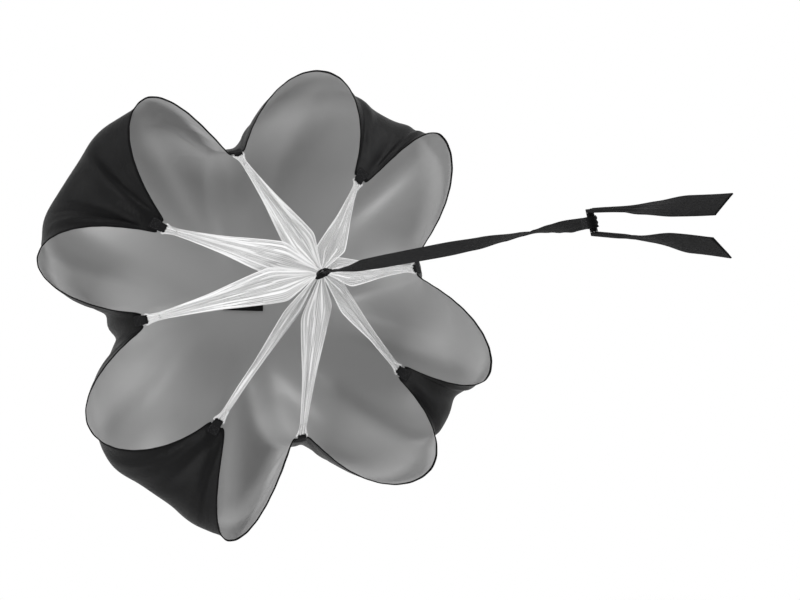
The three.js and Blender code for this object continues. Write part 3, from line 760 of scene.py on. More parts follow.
notchFlats = [notchFlatPlace(k) for k in range(notchCount)]
foldSettings = {
    "start": 0.030,
    "full": 0.110,
    "reach": 0.400,
    "depth": 0.0045,
    "sideDepth": 0.0013,
    "panelTurn": 0.75,  # radians each side of a corner's diagonal
    "panelFade": 0.5,
    # waves per radian, shift from tab to tab, and height share
    "fans": ((11.0, 1.7, 1.0), (19.0, 2.9, 0.55)),
    "rimReach": 0.10,
    "tautFrom": 0.06,
    "tautOver": 0.10,
    "puckerDepth": 0.0003,
    "puckerLength": 0.041,
    "puckerReach": 0.030,
    "puckerDrift": (2.0, 9.0),
    # single creases on the flat square: start, end, height outwards and width
    "creases": (
        ((-0.01, 0.62), (-0.14, 0.48), -0.0040, 0.011),
        ((-0.05, 0.505), (-0.30, 0.565), -0.0045, 0.011),
        ((-0.02, 0.50), (-0.17, 0.36), -0.0030, 0.008),
        ((-0.675, 0.675), (-0.34, 0.455), 0.0100, 0.018),
        ((-0.675, 0.665), (-0.50, 0.36), -0.0040, 0.013),
        ((-0.680, 0.660), (-0.60, 0.38), 0.0040, 0.014),
        ((-0.675, -0.675), (-0.38, -0.38), 0.0070, 0.018),
        ((-0.665, -0.675), (-0.45, -0.42), -0.0045, 0.012),
        ((-0.655, -0.680), (-0.36, -0.52), 0.0035, 0.012),
        ((0.675, 0.675), (0.40, 0.40), 0.0070, 0.018),
        ((0.675, -0.675), (0.40, -0.40), 0.0070, 0.018),
        ((-0.660, 0.02), (-0.50, 0.24), 0.0022, 0.009),
        ((0.02, -0.660), (0.22, -0.52), 0.0022, 0.009),
        ((-0.02, -0.665), (-0.30, -0.60), -0.0030, 0.010),
        ((0.660, 0.02), (0.55, 0.22), -0.0030, 0.010),
    ),
    "creaseSpread": (0.5, 0.9),  # share of the width at the start, and how much it grows
    "creaseFadeIn": 0.05,
    "creaseFadeOut": 0.55,  # share of the length
    "creaseReach": 4,
}


def creaseHeight(u, v):
    s = foldSettings
    narrow, growth = s["creaseSpread"]
    total = 0.0
    for (u0, v0), (u1, v1), height, width in s["creases"]:
        du, dv = u1 - u0, v1 - v0
        length = math.hypot(du, dv)
        along = ((u - u0) * du + (v - v0) * dv) / length
        aside = ((u - u0) * dv - (v - v0) * du) / length
        if 0 < along < length and abs(aside) < s["creaseReach"] * width:
            spread = width * (narrow + growth * along / length)
            fade = smooth(along / s["creaseFadeIn"])
            fade *= smooth((length - along) / (s["creaseFadeOut"] * length))
            total += height * fade * math.exp(-(aside / spread) ** 2)
    return total


# Folds that fan out from the tabs, and small puckers along the sewn rim
def foldHeight(u, v):
    s = foldSettings
    total = 0.0
    edge = halfSide - max(abs(u), abs(v))
    for k, (nu, nv) in enumerate(notchFlats):
        du, dv = u - nu, v - nv
        distance = math.hypot(du, dv)
        if s["start"] < distance < s["reach"]:
            bearing = math.atan2(dv, du) - math.atan2(-nv, -nu)
            rise = smooth((distance - s["start"]) / (s["full"] - s["start"]))
            fall = smooth((s["reach"] - distance) / (s["reach"] - s["full"]))
            wave = sum(share * math.sin(turns * bearing + shift * k) for turns, shift, share in s["fans"])
            nearRim = smooth(edge / s["rimReach"])
            taut = mix(1.0, nearRim, smooth((distance - s["tautFrom"]) / s["tautOver"]))
            lean = abs((bearing + math.pi) % fullTurn - math.pi)
            fade = (s["panelTurn"] - lean) / (s["panelFade"] * s["panelTurn"])
            panel = smooth(fade) if k % 2 == 0 else 0.0
            total += mix(s["sideDepth"], s["depth"], panel) * rise * fall * taut * wave
    place = u if abs(v) > abs(u) else v
    drift, driftTurn = s["puckerDrift"]
    pucker = math.sin(fullTurn * place / s["puckerLength"] + drift * math.sin(driftTurn * place))
    return total + creaseHeight(u, v) + s["puckerDepth"] * pucker * math.exp(-edge / s["puckerReach"])


clothGrid = {}  # place and outward normal of the finished cloth, by column and row


def makeCanopy():
    c = canopyShape
    size, last = c["side"], c["segments"]
    mesh = gridMesh(last, last, lambda a, b: clothPlace((a - 0.5) * size, (b - 0.5) * size),
                    lambda a, b: ((a - 0.5) * size, (b - 0.5) * size))
    mesh.normal_update()
    uvLayer = mesh.loops.layers.uv["UVMap"]
    flatPlaces = {v: tuple(v.link_loops[0][uvLayer].uv) for v in mesh.verts}
    middle = min(mesh.verts, key=lambda v: v.co.x)
    if middle.normal.x > 0:
        bmesh.ops.reverse_faces(mesh, faces=mesh.faces)
    # The air fills the cloth roundly: all but the rim is smoothed, further in with each pass
    for i in range(c["smoothPasses"]):
        reach = halfSide * (c["smoothFrom"] - c["smoothStep"] * i)
        inner = [v for v, (x, y) in flatPlaces.items() if max(abs(x), abs(y)) < reach]
        bmesh.ops.smooth_vert(mesh, verts=inner, factor=0.5,
                              use_axis_x=True, use_axis_y=True, use_axis_z=True)
    mesh.normal_update()
    for vertex, move in [(v, v.normal * foldHeight(*place)) for v, place in flatPlaces.items()]:
        vertex.co += move
    mesh.normal_update()
    for vertex, (u, v) in flatPlaces.items():
        key = (round((u / size + 0.5) * last), round((v / size + 0.5) * last))
        clothGrid[key] = (vertex.co.copy(), vertex.normal.copy())
    piece = newPiece("canopyCloth", mesh, clothBlack, "parachute", node="canopy")
    piece.data.materials.append(clothGrey)
    addWall(piece, c["thickness"], 1)
    return piece


# Place and outward normal of the finished cloth at a point of the flat square
def clothAt(u, v):
    last = canopyShape["segments"]
    x = clamp(u / canopyShape["side"] + 0.5) * last
    y = clamp(v / canopyShape["side"] + 0.5) * last
    i, j = min(int(x), last - 1), min(int(y), last - 1)
    a, b = x - i, y - j
    corners = [clothGrid[key] for key in ((i, j), (i + 1, j), (i, j + 1), (i + 1, j + 1))]
    shares = [(1 - a) * (1 - b), a * (1 - b), (1 - a) * b, a * b]
    point = sum((p * s for (p, n), s in zip(corners, shares)), Vector())
    normal = sum((n * s for (p, n), s in zip(corners, shares)), Vector())
    return point, normal.normalized()


canopy = makeCanopy()
print("canopy made")


# Rim binding: a folded tape over the cloth's edge along each lobe
tapeSettings = {
    "depth": 0.0062,
    "stand": 0.00095,
    "thickness": 0.0007,
    "segments": 110,
    "tabGap": 0.0143,
    "flankSteps": (1.0, 0.72, 0.45, 0.2, 0.0),
    "bightSteps": (45, 90, 135),
}


def rimFlatPlace(k, share, inset):
    start, end = Vector(notchFlats[k]), Vector(notchFlats[(k + 1) % notchCount])
    gap = tapeSettings["tabGap"] / (end - start).length
    point = start.lerp(end, mix(gap, 1 - gap, share))
    long = 0 if abs(point.x) > abs(point.y) else 1
    point[long] -= math.copysign(inset, point[long])
    return point


def makeRimTape(k):
    s = tapeSettings
    flank = [(-step * s["depth"], s["stand"]) for step in s["flankSteps"]]
    turns = [math.radians(step) for step in s["bightSteps"]]
    bight = [(s["stand"] * math.sin(turn), s["stand"] * math.cos(turn)) for turn in turns]
    profile = flank + bight + [(reach, -stand) for reach, stand in reversed(flank)]
    last = len(profile) - 1

    def placeAt(across, along):
        reach, stand = profile[round(across * last)]
        edge, normal = clothAt(*rimFlatPlace(k, along, 0))
        inner, innerNormal = clothAt(*rimFlatPlace(k, along, s["depth"]))
        if reach >= 0:
            return edge + (edge - inner).normalized() * reach + normal * stand
        share = -reach / s["depth"]
        return edge.lerp(inner, share) + normal.lerp(innerNormal, share).normalized() * stand

    width = 2 * s["depth"] + 2 * s["stand"]
    mesh = gridMesh(last, s["segments"], placeAt, flatUv(width, halfSide))
    return newPiece(f"rimTape{k + 1}", mesh, tapeBlack, "parachute", s["thickness"], f"rim_tape_{k + 1}")


tapes = [makeRimTape(k) for k in range(notchCount)]
print("rim tapes made")


# Rim tabs: webbing folded over the rim, with an eye in its bight for the strap
tabSettings = {
    "width": 0.028,
    "thickness": 0.0016,
    "leg": 0.024,
    "legSteps": 4,
    "stand": 0.0021,
    "neck": 0.0063,
    "neckShare": 0.55,
    "eyeLength": 0.004,
    "eyeRadius": 0.0040,
    "bightSteps": 8,
    "gather": 0.30,  # how much narrower the bight is than the legs
    "sag": 0.0004,
    "sagTurn": 7,
    "crease": 0.0005,
    "creases": 2.5,
    "columns": 10,
    "frameStep": 0.985,
    "stitchLift": 0.0002,
    "stitched": (0.72, 0.78),  # shares of the leg's length and width
}


# The middle of the cloth's edge at a notch and the place of the tab's eye, with unit directions:
# side runs along the rim, out goes past it, and through goes through the cloth
def notchFrame(k):
    s = tabSettings
    a, b = lobePoint(k - 1, 1, 1), lobePoint(k, 0, 1)
    side = (b - a).normalized()
    out = (a - lobePoint(k - 1, 1, s["frameStep"])) + (b - lobePoint(k, 0, s["frameStep"]))
    out = (out - side * out.dot(side)).normalized()
    through = out.cross(side).normalized()
    origin = (a + b) / 2
    radial = Vector((0, origin.y - canopyShape["axisY"], origin.z - canopyShape["axisZ"]))
    if through.dot(radial) < 0:
        through.negate()
    eye = origin + out * (s["neck"] + s["eyeLength"])
    return {"origin": origin, "side": side, "out": out, "through": through, "eye": eye}


def tabProfile():
    s = tabSettings
    leg = [(-s["leg"] * (1 - i / s["legSteps"]), s["stand"]) for i in range(s["legSteps"] + 1)]
    leg.append((s["neck"] * 0.5, mix(s["stand"], s["eyeRadius"], s["neckShare"])))
    leg.append((s["neck"], s["eyeRadius"]))
    bight = []
    for i in range(s["bightSteps"] + 1):
        turn = math.pi * i / s["bightSteps"]
        reach = s["neck"] + s["eyeLength"] + s["eyeRadius"] * math.sin(turn)
        bight.append((reach, s["eyeRadius"] * math.cos(turn)))
    return leg + bight + [(reach, -stand) for reach, stand in reversed(leg)]


def makeRimTab(k):
    s = tabSettings
    at = notchFrame(k)
    profile = tabProfile()
    lengths = [0.0]
    for start, end in zip(profile, profile[1:]):
        lengths.append(lengths[-1] + math.dist(start, end))

    def placeAt(across, reach, stand):
        sag = s["sag"] * math.sin(s["sagTurn"] * across + k) * clamp(-reach / s["leg"])
        narrowing = 1 - s["gather"] * smooth((reach + 0.5 * s["leg"]) / (s["neck"] + 0.5 * s["leg"]))
        offset = s["width"] * (across - 0.5) * narrowing
        crease = s["crease"] * (1 - narrowing) / s["gather"] * math.sin(fullTurn * s["creases"] * across + k)
        return at["origin"] + at["side"] * offset + at["out"] * reach + at["through"] * (stand + sag + crease)

    last = len(lengths) - 1
    mesh = stripMesh(profile, s["columns"], s["width"], placeAt, lambda b: lengths[round(b * last)])
    newPiece(f"rimTab{k + 1}", mesh, webbingBlack, "parachute", s["thickness"], f"rim_tab_{k + 1}")
    sewBox(f"tabStitches{k + 1}", "parachute", at["origin"] - at["out"] * (s["leg"] / 2),
           (at["out"], at["side"], at["through"]), s["stand"] + s["thickness"] / 2 + s["stitchLift"],
           (s["leg"], s["width"]), s["stitched"])


for k in range(notchCount):
    makeRimTab(k)
print("rim tabs made")


# Straps: wide strips of net gathered through each tab's eye and into the hub
strapSettings = {
    "start": 0.008,
    "reach": 0.60,
    "thickness": 0.0004,
    "columns": 76,
    "rows": 130,
    "bladeShare": 0.88,  # of the strap's length. The rest is gathered and bundled.
    "gatherShare": 0.55,  # of that rest
    "gatherEase": 0.35,
    "places": (0, 0.08, 0.25, 0.42, 0.58, 0.74, 0.81, 0.88, 0.94, 1.0),
    "widths": (0.27, 0.22, 0.33, 0.51, 0.75, 0.97, 1, 0.74, 0.47, 0.22),
    "opens": (0, 0.2, 0.7, 1, 1, 1, 1, 0.8, 0.45, 0.2),
    "widest": 0.080,
    # one figure for each strap: its width against the widest, and how far it is turned about its length
    "widthShares": (1.04, 0.86, 0.80, 0.92, 0.94, 0.98, 0.78, 1.06),
    "pitches": (24, 20, 34, 22, 30, 18, 46, 24),
    "pitchOver": 0.45,
    # Straps 3 to 5 get the more open net and read greyer: painted shade, since the real straps are all alike.
    "thin": (2, 3, 4),  # straps that lie in fewer layers
    # net folded over at both edges and once between: shares of the flat width, and where they come to lie
    "foldPlaces": (0, 0.035, 0.36, 0.42, 0.48, 0.965, 1),
    "foldSides": (-0.465, -0.5, -0.12, -0.17, -0.12, 0.5, 0.465),
    "foldLayers": (-1, -0.4, 0, 1, 2, 0.4, -1),
    "foldSway": 0.03,
    "swayTurn": 5,
    "layerGap": 0.0007,
    "pleats": 3,
    "pleatHeight": 0.0012,
    "waveHeight": 0.0034,
    # count, shift from strap to strap, drift and height share
    "waves": ((1.1, 1.9, 1, 1), (2.7, 0.7, -2.1, 0.45), (7.3, 3.1, 3, 0.13)),
    "drift": 0.5,
    "driftTurn": 2.2,
    "bundleFit": 0.9,
}
prongSettings = {
    "radius": 0.0023,
    "fit": 0.85,
    "length": 0.046,
    "frontHalf": 0.0045,
    "clearance": 1.1,  # beside the tab, in radii
    "columns": 18,
    "rows": 110,
    "uvLength": 0.12,
    "ridges": 5,
    "ridgeHeight": 0.13,
    "ridgeSway": 6,
    "knots": 9,
    "knotHeight": 0.06,
}
hubSettings = {
    "wrapFront": -0.0063,
    "wrapLength": 0.026,
    "wrapRadius": 0.0096,
    "wrapThickness": 0.00063,
    "wrapTurns": 1.85,
    "wrapRise": 0.0009,
    "wrapDish": 0.0002,
    "wrapColumns": 12,
    "wrapRows": 110,
    "gatherLength": 0.022,
    "gatherRadius": 0.015,
    "capThickness": 0.006,
    "capFill": 0.96,
    "capWide": 0.042,
    "capNarrow": 0.0125,
    "capPlace": (-0.003, -0.0035),
    "lean": 17,  # degrees: the bundle is squeezed flat, and this is how its long side lies
    "squeeze": (1.18, 0.68),
    "bundleInner": 0.003,
    "bundleOuter": 0.0088,
    "bundleInset": 0.001,
}


# A point of the round bundle, once its webbing has squeezed it flat
def squeezed(point):
    h = hubSettings
    wide, narrow = turnedPair(math.radians(h["lean"]))
    return (xAxis * point.x + wide * (point.dot(wide) * h["squeeze"][0])
            + narrow * (point.dot(narrow) * h["squeeze"][1]))


def strapFrame(k):
    at = notchFrame(k)
    h = hubSettings
    radial, tangent = turnedPair(notchAngle(k))
    gather = radial * h["gatherRadius"] - xAxis * (h["capThickness"] + h["wrapLength"] + h["gatherLength"])
    toward = gather - at["eye"]
    forward = (toward - at["side"] * toward.dot(at["side"])).normalized()
    return {**at, "radial": radial, "tangent": tangent, "gather": gather, "forward": forward}


# Long soft folds across a strap, no two straps alike
def foldWave(across, share, k):
    s = strapSettings
    drift = s["drift"] * math.sin(s["driftTurn"] * share + k)
    return sum(height * math.sin(fullTurn * count * across + shift * k + pull * drift)
               for count, shift, pull, height in s["waves"])


def makeStrapBlade(k):
    s, h = strapSettings, hubSettings
    at = strapFrame(k)
    start = at["eye"] + at["forward"] * s["start"]
    run = at["gather"] - start
    along = run.normalized()
    flat = (at["side"] - along * at["side"].dot(along)).normalized()
    if flat.dot(at["tangent"]) < 0:
        flat.negate()
    backX = h["wrapFront"] - h["wrapLength"]

    def spread(across, share):
        pitch = math.radians(s["pitches"][k]) * smooth(share / s["pitchOver"])
        wide = Matrix.Rotation(pitch, 3, along) @ flat
        thick = along.cross(wide)
        width = s["widest"] * s["widthShares"][k] * curveAt(s["places"], s["widths"], share)
        opened = levelAt(s["places"], s["opens"], share)
        turnedFold = across if k % 2 else 1 - across
        side = lineAt(s["foldPlaces"], s["foldSides"], turnedFold)
        side += s["foldSway"] * math.sin(s["swayTurn"] * share + k) * (0.25 - side * side)
        height = s["waveHeight"] * opened * foldWave(side, share, k)
        height += lineAt(s["foldPlaces"], s["foldLayers"], turnedFold) * s["layerGap"]
        height += (1 - opened) * s["pleatHeight"] * math.sin(fullTurn * s["pleats"] * across + k)
        return start + run * share + wide * (width * (side if k % 2 else -side)) + thick * height

    def bundled(across, x):
        ply = abs((across * s["pleats"]) % 1 * 2 - 1)
        radius = mix(h["bundleInner"], h["bundleOuter"], ply)
        side = (2 * across - 1) * radius * math.tan(math.pi / notchCount) * s["bundleFit"]
        return squeezed(xAxis * x + at["radial"] * radius + at["tangent"] * side)

    def placeAt(across, share):
        if share < s["bladeShare"]:
            return spread(across, share / s["bladeShare"])
        part = (share - s["bladeShare"]) / (1 - s["bladeShare"])
        if part < s["gatherShare"]:
            q = part / s["gatherShare"]
            return spread(across, 1).lerp(bundled(across, backX), mix(q, smooth(q), s["gatherEase"]))
        q = (part - s["gatherShare"]) / (1 - s["gatherShare"])
        return bundled(across, mix(backX, h["wrapFront"] - h["bundleInset"], q))

    return gridMesh(s["columns"], s["rows"], placeAt, flatUv(netSettings["width"], s["reach"]))


# The strap's end, gathered to a thick strand that loops through the tab's eye
def makeStrapStrand(k):
    s, t = prongSettings, tabSettings
    at = strapFrame(k)
    half = t["width"] / 2 * (1 - t["gather"]) + s["radius"] * s["clearance"]
    deep = t["eyeRadius"] + t["thickness"] + s["radius"]
    # one side of the loop, from behind the tab's bight to where the net spreads: sideways and forwards
    outline = [
        (half * 0.75, 0.0),
        (half * 0.97, s["radius"] * 0.7),
        (half * 0.96, deep * 0.9),
        (half * 0.8, deep * 1.7),
        (mix(s["frontHalf"], half * 0.8, 0.4), s["length"] * 0.6),
        (s["frontHalf"], s["length"] * 0.93),
        (s["frontHalf"] * 0.4, s["length"]),
    ]
    corners = outline + [(-b, u) for b, u in reversed(outline)]
    points = [at["eye"] + at["side"] * b + at["forward"] * u for b, u in corners]

    def radiusAt(turn, share):
        sway = s["ridgeSway"] * math.sin(fullTurn * share)
        ridge = s["ridgeHeight"] * math.sin(s["ridges"] * turn + sway)
        knot = s["knotHeight"] * math.sin(fullTurn * s["knots"] * share)
        return s["radius"] * s["fit"] * (1 + ridge + knot)

    normal = at["side"].cross(at["forward"]).normalized()
    return pathMesh(points, normal, s["columns"], s["rows"], s["uvLength"], radiusAt, closed=True)


def makeStrap(k):
    s = strapSettings
    # the more open net on some straps is painted shade
    net = netShadedThin if k in s["thin"] else netWhite
    strap = newPiece(f"netStrap{k + 1}", makeStrapBlade(k), net, "parachute",
                     s["thickness"], f"strap_{k + 1}")
    strand = newPiece(f"strapStrand{k + 1}", makeStrapStrand(k), net, "parachute")


for k in range(notchCount):
    makeStrap(k)
print("straps made")


# Apex tab: folded webbing sewn flat to the inside of the canopy's middle
apexSettings = {
    "length": 0.100,
    "width": 0.038,
    "foldRadius": 0.0008,
    "thickness": 0.00136,
    "turn": -14,
    "steps": 4,
    "columns": 8,
    "stitchLift": 0.0009,
    "stitched": (0.8, 0.76),
}


def makeApexTab():
    s = apexSettings
    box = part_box("apex_tab")
    centre = Vector(((box[0].x + box[1].x) / 2, canopyShape["axisY"], canopyShape["axisZ"]))
    long, wide = turnedPair(math.radians(s["turn"]))
    fold = s["foldRadius"]
    side = [(mix(-0.5, 0.5, i / s["steps"]) * s["length"], fold) for i in range(s["steps"] + 1)]
    turns = [math.pi * i / s["steps"] for i in range(1, s["steps"])]
    bight = [(s["length"] / 2 + fold * math.sin(turn), fold * math.cos(turn)) for turn in turns]

    def placeAt(across, reach, stand):
        return centre + long * reach + wide * (s["width"] * (across - 0.5)) + xAxis * stand

    profile = side + bight + [(reach, -stand) for reach, stand in reversed(side)]
    mesh = stripMesh(profile, s["columns"], s["width"], placeAt, lambda b: b * 2 * s["length"])
    newPiece("apexTab", mesh, webbingBlack, "parachute", s["thickness"], "apex_tab")
    sewBox("apexStitches", "parachute", centre, (long, wide, xAxis), fold + s["stitchLift"],
           (s["length"], s["width"]), s["stitched"], faces=(1,))


makeApexTab()
print("apex tab made")


# Hub: a webbing band wound round the gathered strap ends, and a folded loop on its front
def makeHubWrap():
    h = hubSettings

    def placeAt(along, around):
        angle = fullTurn * h["wrapTurns"] * around
        radius = h["wrapRadius"] + h["wrapRise"] * around * h["wrapTurns"]
        radius -= h["wrapDish"] * math.cos(fullTurn * along)
        x = h["wrapFront"] - h["wrapLength"] * along
        return squeezed(Vector((x, radius * math.cos(angle), radius * math.sin(angle))))

    length = fullTurn * h["wrapTurns"] * h["wrapRadius"]
    mesh = gridMesh(h["wrapColumns"], h["wrapRows"], placeAt, flatUv(h["wrapLength"], length))
    bmesh.ops.reverse_faces(mesh, faces=mesh.faces)
    newPiece("hubWrap", mesh, webbingBlack, "parachute", h["wrapThickness"], "hub_wrap")


linkSettings = {
    "strand": 0.0029,
    "bend": 0.0063,
    "bendSteps": 8,
    "rows": 60,
    "hubRoot": -0.003,
    "hubBack": 0.0072,
    "tetherBack": 0.0135,
    "tetherRoot": 0.0015,
}


# Points of a loop from its root round a half turn and back, in the plane of X and side
def loopPath(rootX, bendX, facing, side):
    s = linkSettings
    path = [(rootX, -s["bend"])]
    for i in range(s["bendSteps"] + 1):
        angle = math.pi * (i / s["bendSteps"] - 0.5)
        path.append((bendX + facing * s["bend"] * math.cos(angle), s["bend"] * math.sin(angle)))
    path.append((rootX, s["bend"]))
    return [xAxis * x + side * y for x, y in path]


def makeHubLoop():
    s, h = linkSettings, hubSettings
    mesh = strandMesh(loopPath(s["hubRoot"], s["hubBack"], 1, zAxis), yAxis, s["strand"], s["rows"])
    newPiece("hubLoop", mesh, webbingBlack, "parachute", node="hub_loop")
    cap = bmesh.new()
    at = Matrix.Translation((-h["capThickness"] / 2, *h["capPlace"]))
    at = at @ Matrix.Rotation(math.radians(h["lean"]), 4, "X")
    at = at @ Matrix.Diagonal((h["capThickness"] * h["capFill"], h["capWide"], h["capNarrow"], 1))
    at = at @ Matrix.Rotation(math.pi / 2, 4, "Y")
    bmesh.ops.create_uvsphere(cap, u_segments=40, v_segments=20, radius=0.5, matrix=at)
    uvLayer = cap.loops.layers.uv.new("UVMap")
    for face in cap.faces:
        for loop in face.loops:
            loop[uvLayer].uv = loop.vert.co.yz
    newPiece("hubCap", cap, webbingBlack, "parachute")


eyeSettings = {
    "start": 0.0201,
    "length": 0.045,
    "width": 0.025,
    "thickness": 0.0046,
    "groove": 0.0004,
    "grooveWidth": 0.12,
    "edgePower": 0.25,
    "facePower": 0.5,
    "endFrom": 0.9,
    "endTaper": 0.25,
    "columns": 48,
    "rows": 24,
    "stitchLift": 0.0001,
    "stitched": (0.76, 0.7),
}


# A ring of gathered webbing, and the flat, rounded end of two sewn layers that holds it
def makeTetherEye():
    s, e = linkSettings, eyeSettings
    path = loopPath(e["start"] + s["strand"] + s["tetherRoot"], s["tetherBack"], -1, yAxis)
    newPiece("tetherEyeBight", strandMesh(path, zAxis, s["strand"], s["rows"]), webbingBlack, "link")

    def placeAt(around, share):
        turn = fullTurn * around
        across = math.copysign(abs(math.cos(turn)) ** e["edgePower"], math.cos(turn))
        up = math.copysign(abs(math.sin(turn)) ** e["facePower"], math.sin(turn))
        ends = 1 - e["endTaper"] * max(abs(2 * share - 1) - e["endFrom"], 0) / (1 - e["endFrom"])
        groove = e["groove"] * math.exp(-(math.sin(turn) / e["grooveWidth"]) ** 2)
        x = e["start"] + e["length"] * share
        return Vector((x, (e["width"] / 2 - groove) * across, e["thickness"] / 2 * up * ends))

    def uvAt(around, share):
        return math.cos(fullTurn * around) * e["width"] / 2, share * e["length"]

    plate = sleeveMesh(e["columns"], e["rows"], placeAt, uvAt)
    newPiece("tetherEyePlate", plate, webbingBlack, "link", node="tether_eye")
    sewBox("tetherEyeStitches", "link", xAxis * (e["start"] + e["length"] / 2), (xAxis, yAxis, zAxis),
           e["thickness"] / 2 + e["stitchLift"], (e["length"], e["width"]), e["stitched"])


makeHubWrap()
makeHubLoop()
makeTetherEye()
print("hub made")


# Tether's end loop round the belt, its sewn tail, and the belt's bight inside it
loopSettings = {
    "centreX": 1.7,
    "innerRadius": 0.0063,
    "thickness": 0.0021,
    "tail": 0.034,
    "tailHalf": 0.0013,
    "tailSteps": (0.0, 0.35, 0.7, 0.93),
    "roundSteps": 28,
    "width": 0.025,
    "columns": 16,
    "ridge": 0.0007,
    "ridges": 2.5,
    "ridgeFrom": 0.01,  # length of the tail over which the ridges rise
    "stitchLift": 0.0001,
    "stitched": (0.72, 0.5),
}


def makeTetherLoop():
    s = loopSettings
    radius = s["innerRadius"] + s["thickness"] / 2
    tailX = s["centreX"] - s["innerRadius"] - s["thickness"] - s["tail"]
    opening = math.asin(s["tailHalf"] / radius)
    tail = [(mix(tailX, s["centreX"] - radius, share), s["tailHalf"]) for share in s["tailSteps"]]
    profile = list(tail)
    for i in range(s["roundSteps"] + 1):
        angle = mix(math.pi - opening, -math.pi + opening, i / s["roundSteps"])
        profile.append((s["centreX"] + radius * math.cos(angle), radius * math.sin(angle)))
    profile += [(x, -y) for x, y in reversed(tail)]

    def placeAt(across, x, y):
        outward = Vector((x - s["centreX"], y, 0)).normalized()
        ridge = s["ridge"] * math.cos(fullTurn * s["ridges"] * across) * clamp((x - tailX) / s["ridgeFrom"])
        return Vector((x, y, s["width"] * tetherSettings["gathered"] * (across - 0.5))) + outward * ridge

    length = 2 * s["tail"] + fullTurn * radius
    mesh = stripMesh(profile, s["columns"], s["width"], placeAt, lambda b: b * length)
    newPiece("tetherEndLoop", mesh, webbingBlack, "tether", s["thickness"], "tether_loop")
    sewBox("tetherEndStitches", "tether", xAxis * (tailX + s["tail"] / 2), (xAxis, zAxis, yAxis),
           s["tailHalf"] + s["thickness"] / 2 + s["stitchLift"], (s["tail"], s["width"]), s["stitched"])


beltSettings = {
    "width": 0.038,
    "thickness": 0.0019,
    "armLength": 0.448,
    "columns": 28,
    "rows": 110,
    "bightRadius": 0.006,
    "bightHalf": 0.0145,
    "bightRidges": 7,
    "bightSteps": (-1, -0.5, 0, 0.5, 1),
    "bightRows": 40,
    "knuckleHeight": 0.005,
    "knuckleSteps": (-1, -0.3, 0.3, 1),
    "knuckleRows": 12,
    "gap": 0.0003,
    "widthPlaces": (0, 0.12, 0.3, 0.5, 0.7, 1),
    "widths": (0.3, 0.34, 0.6, 0.95, 1, 1),
    "turnPlaces": (0, 0.2, 0.45, 0.72, 1),
    "folds": 3,
    "foldHeight": 0.0021,
    "foldGain": 1.6,
    "edgeCurl": 0.0007,
    "curlTurn": 11,
    # each arm: its side of the loop, where it ends in Y and Z, and its turns in degrees
    "upper": (1, (0.022, -0.009), (0, 4, 18, 36, 36)),
    "lower": (-1, (0.006, -0.064), (0, 8, 30, 56, 56)),
}


# Belt webbing gathered to a short upright strand on the loop's axis
def makeKnuckle(name, body, middle, half, steps, rows, node=None):
    b = beltSettings
    path = [middle + zAxis * (z * half) for z in steps]
    mesh = strandMesh(path, yAxis, b["bightRadius"], rows, b["bightRidges"])
    newPiece(name, mesh, webbingBlack, body, node=node)


def makeBeltArm(name):
    b = beltSettings
    level, end, turns = b[name]
    body = f"belt_{name}"
    startZ = level * (b["bightHalf"] + b["gap"] + b["knuckleHeight"] / 2)
    start = Vector((loopSettings["centreX"], 0, startZ))
    finish = Vector((loopSettings["centreX"] + b["armLength"], *end))

    def placeAt(across, along):
        wide, thick = turnedPair(math.radians(level * levelAt(b["turnPlaces"], turns, along)))
        share = levelAt(b["widthPlaces"], b["widths"], along)
        gathered = clamp((1 - share) * b["foldGain"])
        height = b["foldHeight"] * gathered * math.cos(fullTurn * b["folds"] * across)
        height += b["edgeCurl"] * (2 * across - 1) ** 4 * math.sin(b["curlTurn"] * along + level)
        return start.lerp(finish, along) + wide * (b["width"] * share * (across - 0.5)) + thick * height

    mesh = gridMesh(b["columns"], b["rows"], placeAt, flatUv(b["width"], b["armLength"]))
    newPiece(f"beltArm{name.title()}", mesh, webbingBlack, body, b["thickness"], f"belt_arm_{name}")
    makeKnuckle(f"beltKnuckle{name.title()}", body, start, b["knuckleHeight"] / 2,
                b["knuckleSteps"], b["knuckleRows"])


makeTetherLoop()
makeKnuckle("beltBight", "tether", xAxis * loopSettings["centreX"], beltSettings["bightHalf"],
            beltSettings["bightSteps"], beltSettings["bightRows"], "belt_bight")
makeBeltArm("upper")
makeBeltArm("lower")

# The closure's solids stay in view, with softened edges
patchBevel = 0.0005
for node, material in (("hook_patch", hookBlack), ("loop_patch", loopBlack)):
    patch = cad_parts[node]
    for slot in patch.material_slots:
        slot.material = material
    soften = patch.modifiers.new("soften", "BEVEL")
    soften.width = patchBevel
    soften.segments = 2
print("belt made")

# Floor, lamps and world
stageSettings = {
    "floorPlace": (-0.75, 0, -1.05),
    "floorRadius": 1.4,
    "fadeStart": 0.5,
    "fadeEnd": 1.1,
    "floorColour": (0.86, 0.86, 0.86, 1),
    "floorRoughness": 0.9,
    "floorSpecular": 0.1,
    "worldLight": 0.74,
    "lamps": (
        # name, place, size in metres, power in watts
        ("rightTopLamp", (0.43, 1.75, 1.75), 0.55, 46.0),
        ("leftLowLamp", (0.40, -2.30, -0.90), 0.55, 38.0),
        ("leftTopLamp", (0.40, -2.50, 2.15), 0.50, 52.0),
        ("rightLowLamp", (0.90, 2.10, -1.30), 0.80, 30.0),
    ),
    "aim": (-0.6, 0.0, 0.0),
}


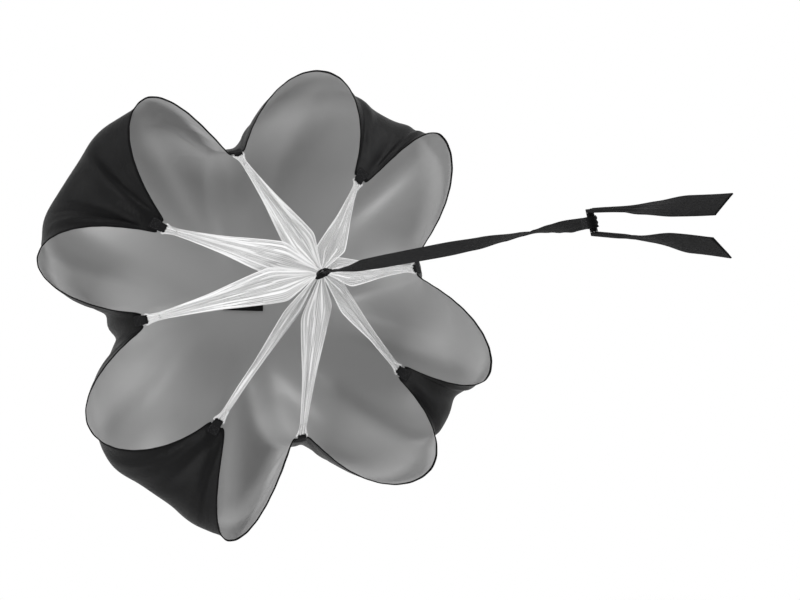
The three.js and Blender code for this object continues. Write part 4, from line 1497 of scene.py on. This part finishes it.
def makeFloor():
    s = stageSettings
    mesh = bmesh.new()
    bmesh.ops.create_circle(mesh, cap_ends=True, segments=64, radius=s["floorRadius"],
                            matrix=Matrix.Translation(s["floorPlace"]))
    data = bpy.data.meshes.new("floor")
    mesh.to_mesh(data)
    mesh.free()
    floor = bpy.data.objects.new("floor", data)
    scene.collection.objects.link(floor)
    values = {
        "Base Color": s["floorColour"],
        "Roughness": s["floorRoughness"],
        "Specular IOR Level": s["floorSpecular"],
    }
    material, tree, shader = newMaterial("floorPale", values)
    fromMiddle = tree.nodes.new("ShaderNodeVectorMath")
    fromMiddle.operation = "DISTANCE"
    fromMiddle.inputs[1].default_value = s["floorPlace"]
    feed(fromMiddle, 0, coordinatesOf(tree, "Object"))
    fade = tree.nodes.new("ShaderNodeMapRange")
    fade.interpolation_type = "SMOOTHSTEP"
    limits = {"From Min": s["fadeStart"], "From Max": s["fadeEnd"], "To Min": 1.0, "To Max": 0.0}
    for label, value in limits.items():
        fade.inputs[label].default_value = value
    feed(fade, "Value", fromMiddle.outputs["Value"])
    feed(shader, "Alpha", fade.outputs["Result"])
    data.materials.append(material)


def makeLamps():
    s = stageSettings
    for name, place, size, power in s["lamps"]:
        light = bpy.data.lights.new(name, "AREA")
        light.shape = "DISK"
        light.size = size
        light.energy = power
        lamp = bpy.data.objects.new(name, light)
        scene.collection.objects.link(lamp)
        lamp.location = place
        lamp.rotation_mode = "QUATERNION"
        lamp.rotation_quaternion = (Vector(s["aim"]) - Vector(place)).to_track_quat("-Z", "Y")


# Soft light from all round, seen as white by the camera and through the net
def makeWorld():
    world = bpy.data.worlds.new("studio")
    scene.world = world
    world.use_nodes = True
    tree = world.node_tree
    light, white = tree.nodes["Background"], tree.nodes.new("ShaderNodeBackground")
    for node, strength in ((light, stageSettings["worldLight"]), (white, 1.0)):
        node.inputs["Color"].default_value = (1, 1, 1, 1)
        node.inputs["Strength"].default_value = strength
    path = tree.nodes.new("ShaderNodeLightPath").outputs
    choose = tree.nodes.new("ShaderNodeMixShader")
    feed(choose, 0, mathNode(tree, "MAXIMUM", path["Is Camera Ray"], path["Is Transmission Ray"]))
    feed(choose, 1, light.outputs[0])
    feed(choose, 2, white.outputs[0])
    feed(tree.nodes["World Output"], "Surface", choose.outputs[0])


makeFloor()
makeLamps()
makeWorld()
scene.view_settings.view_transform = "Standard"
print("stage made")
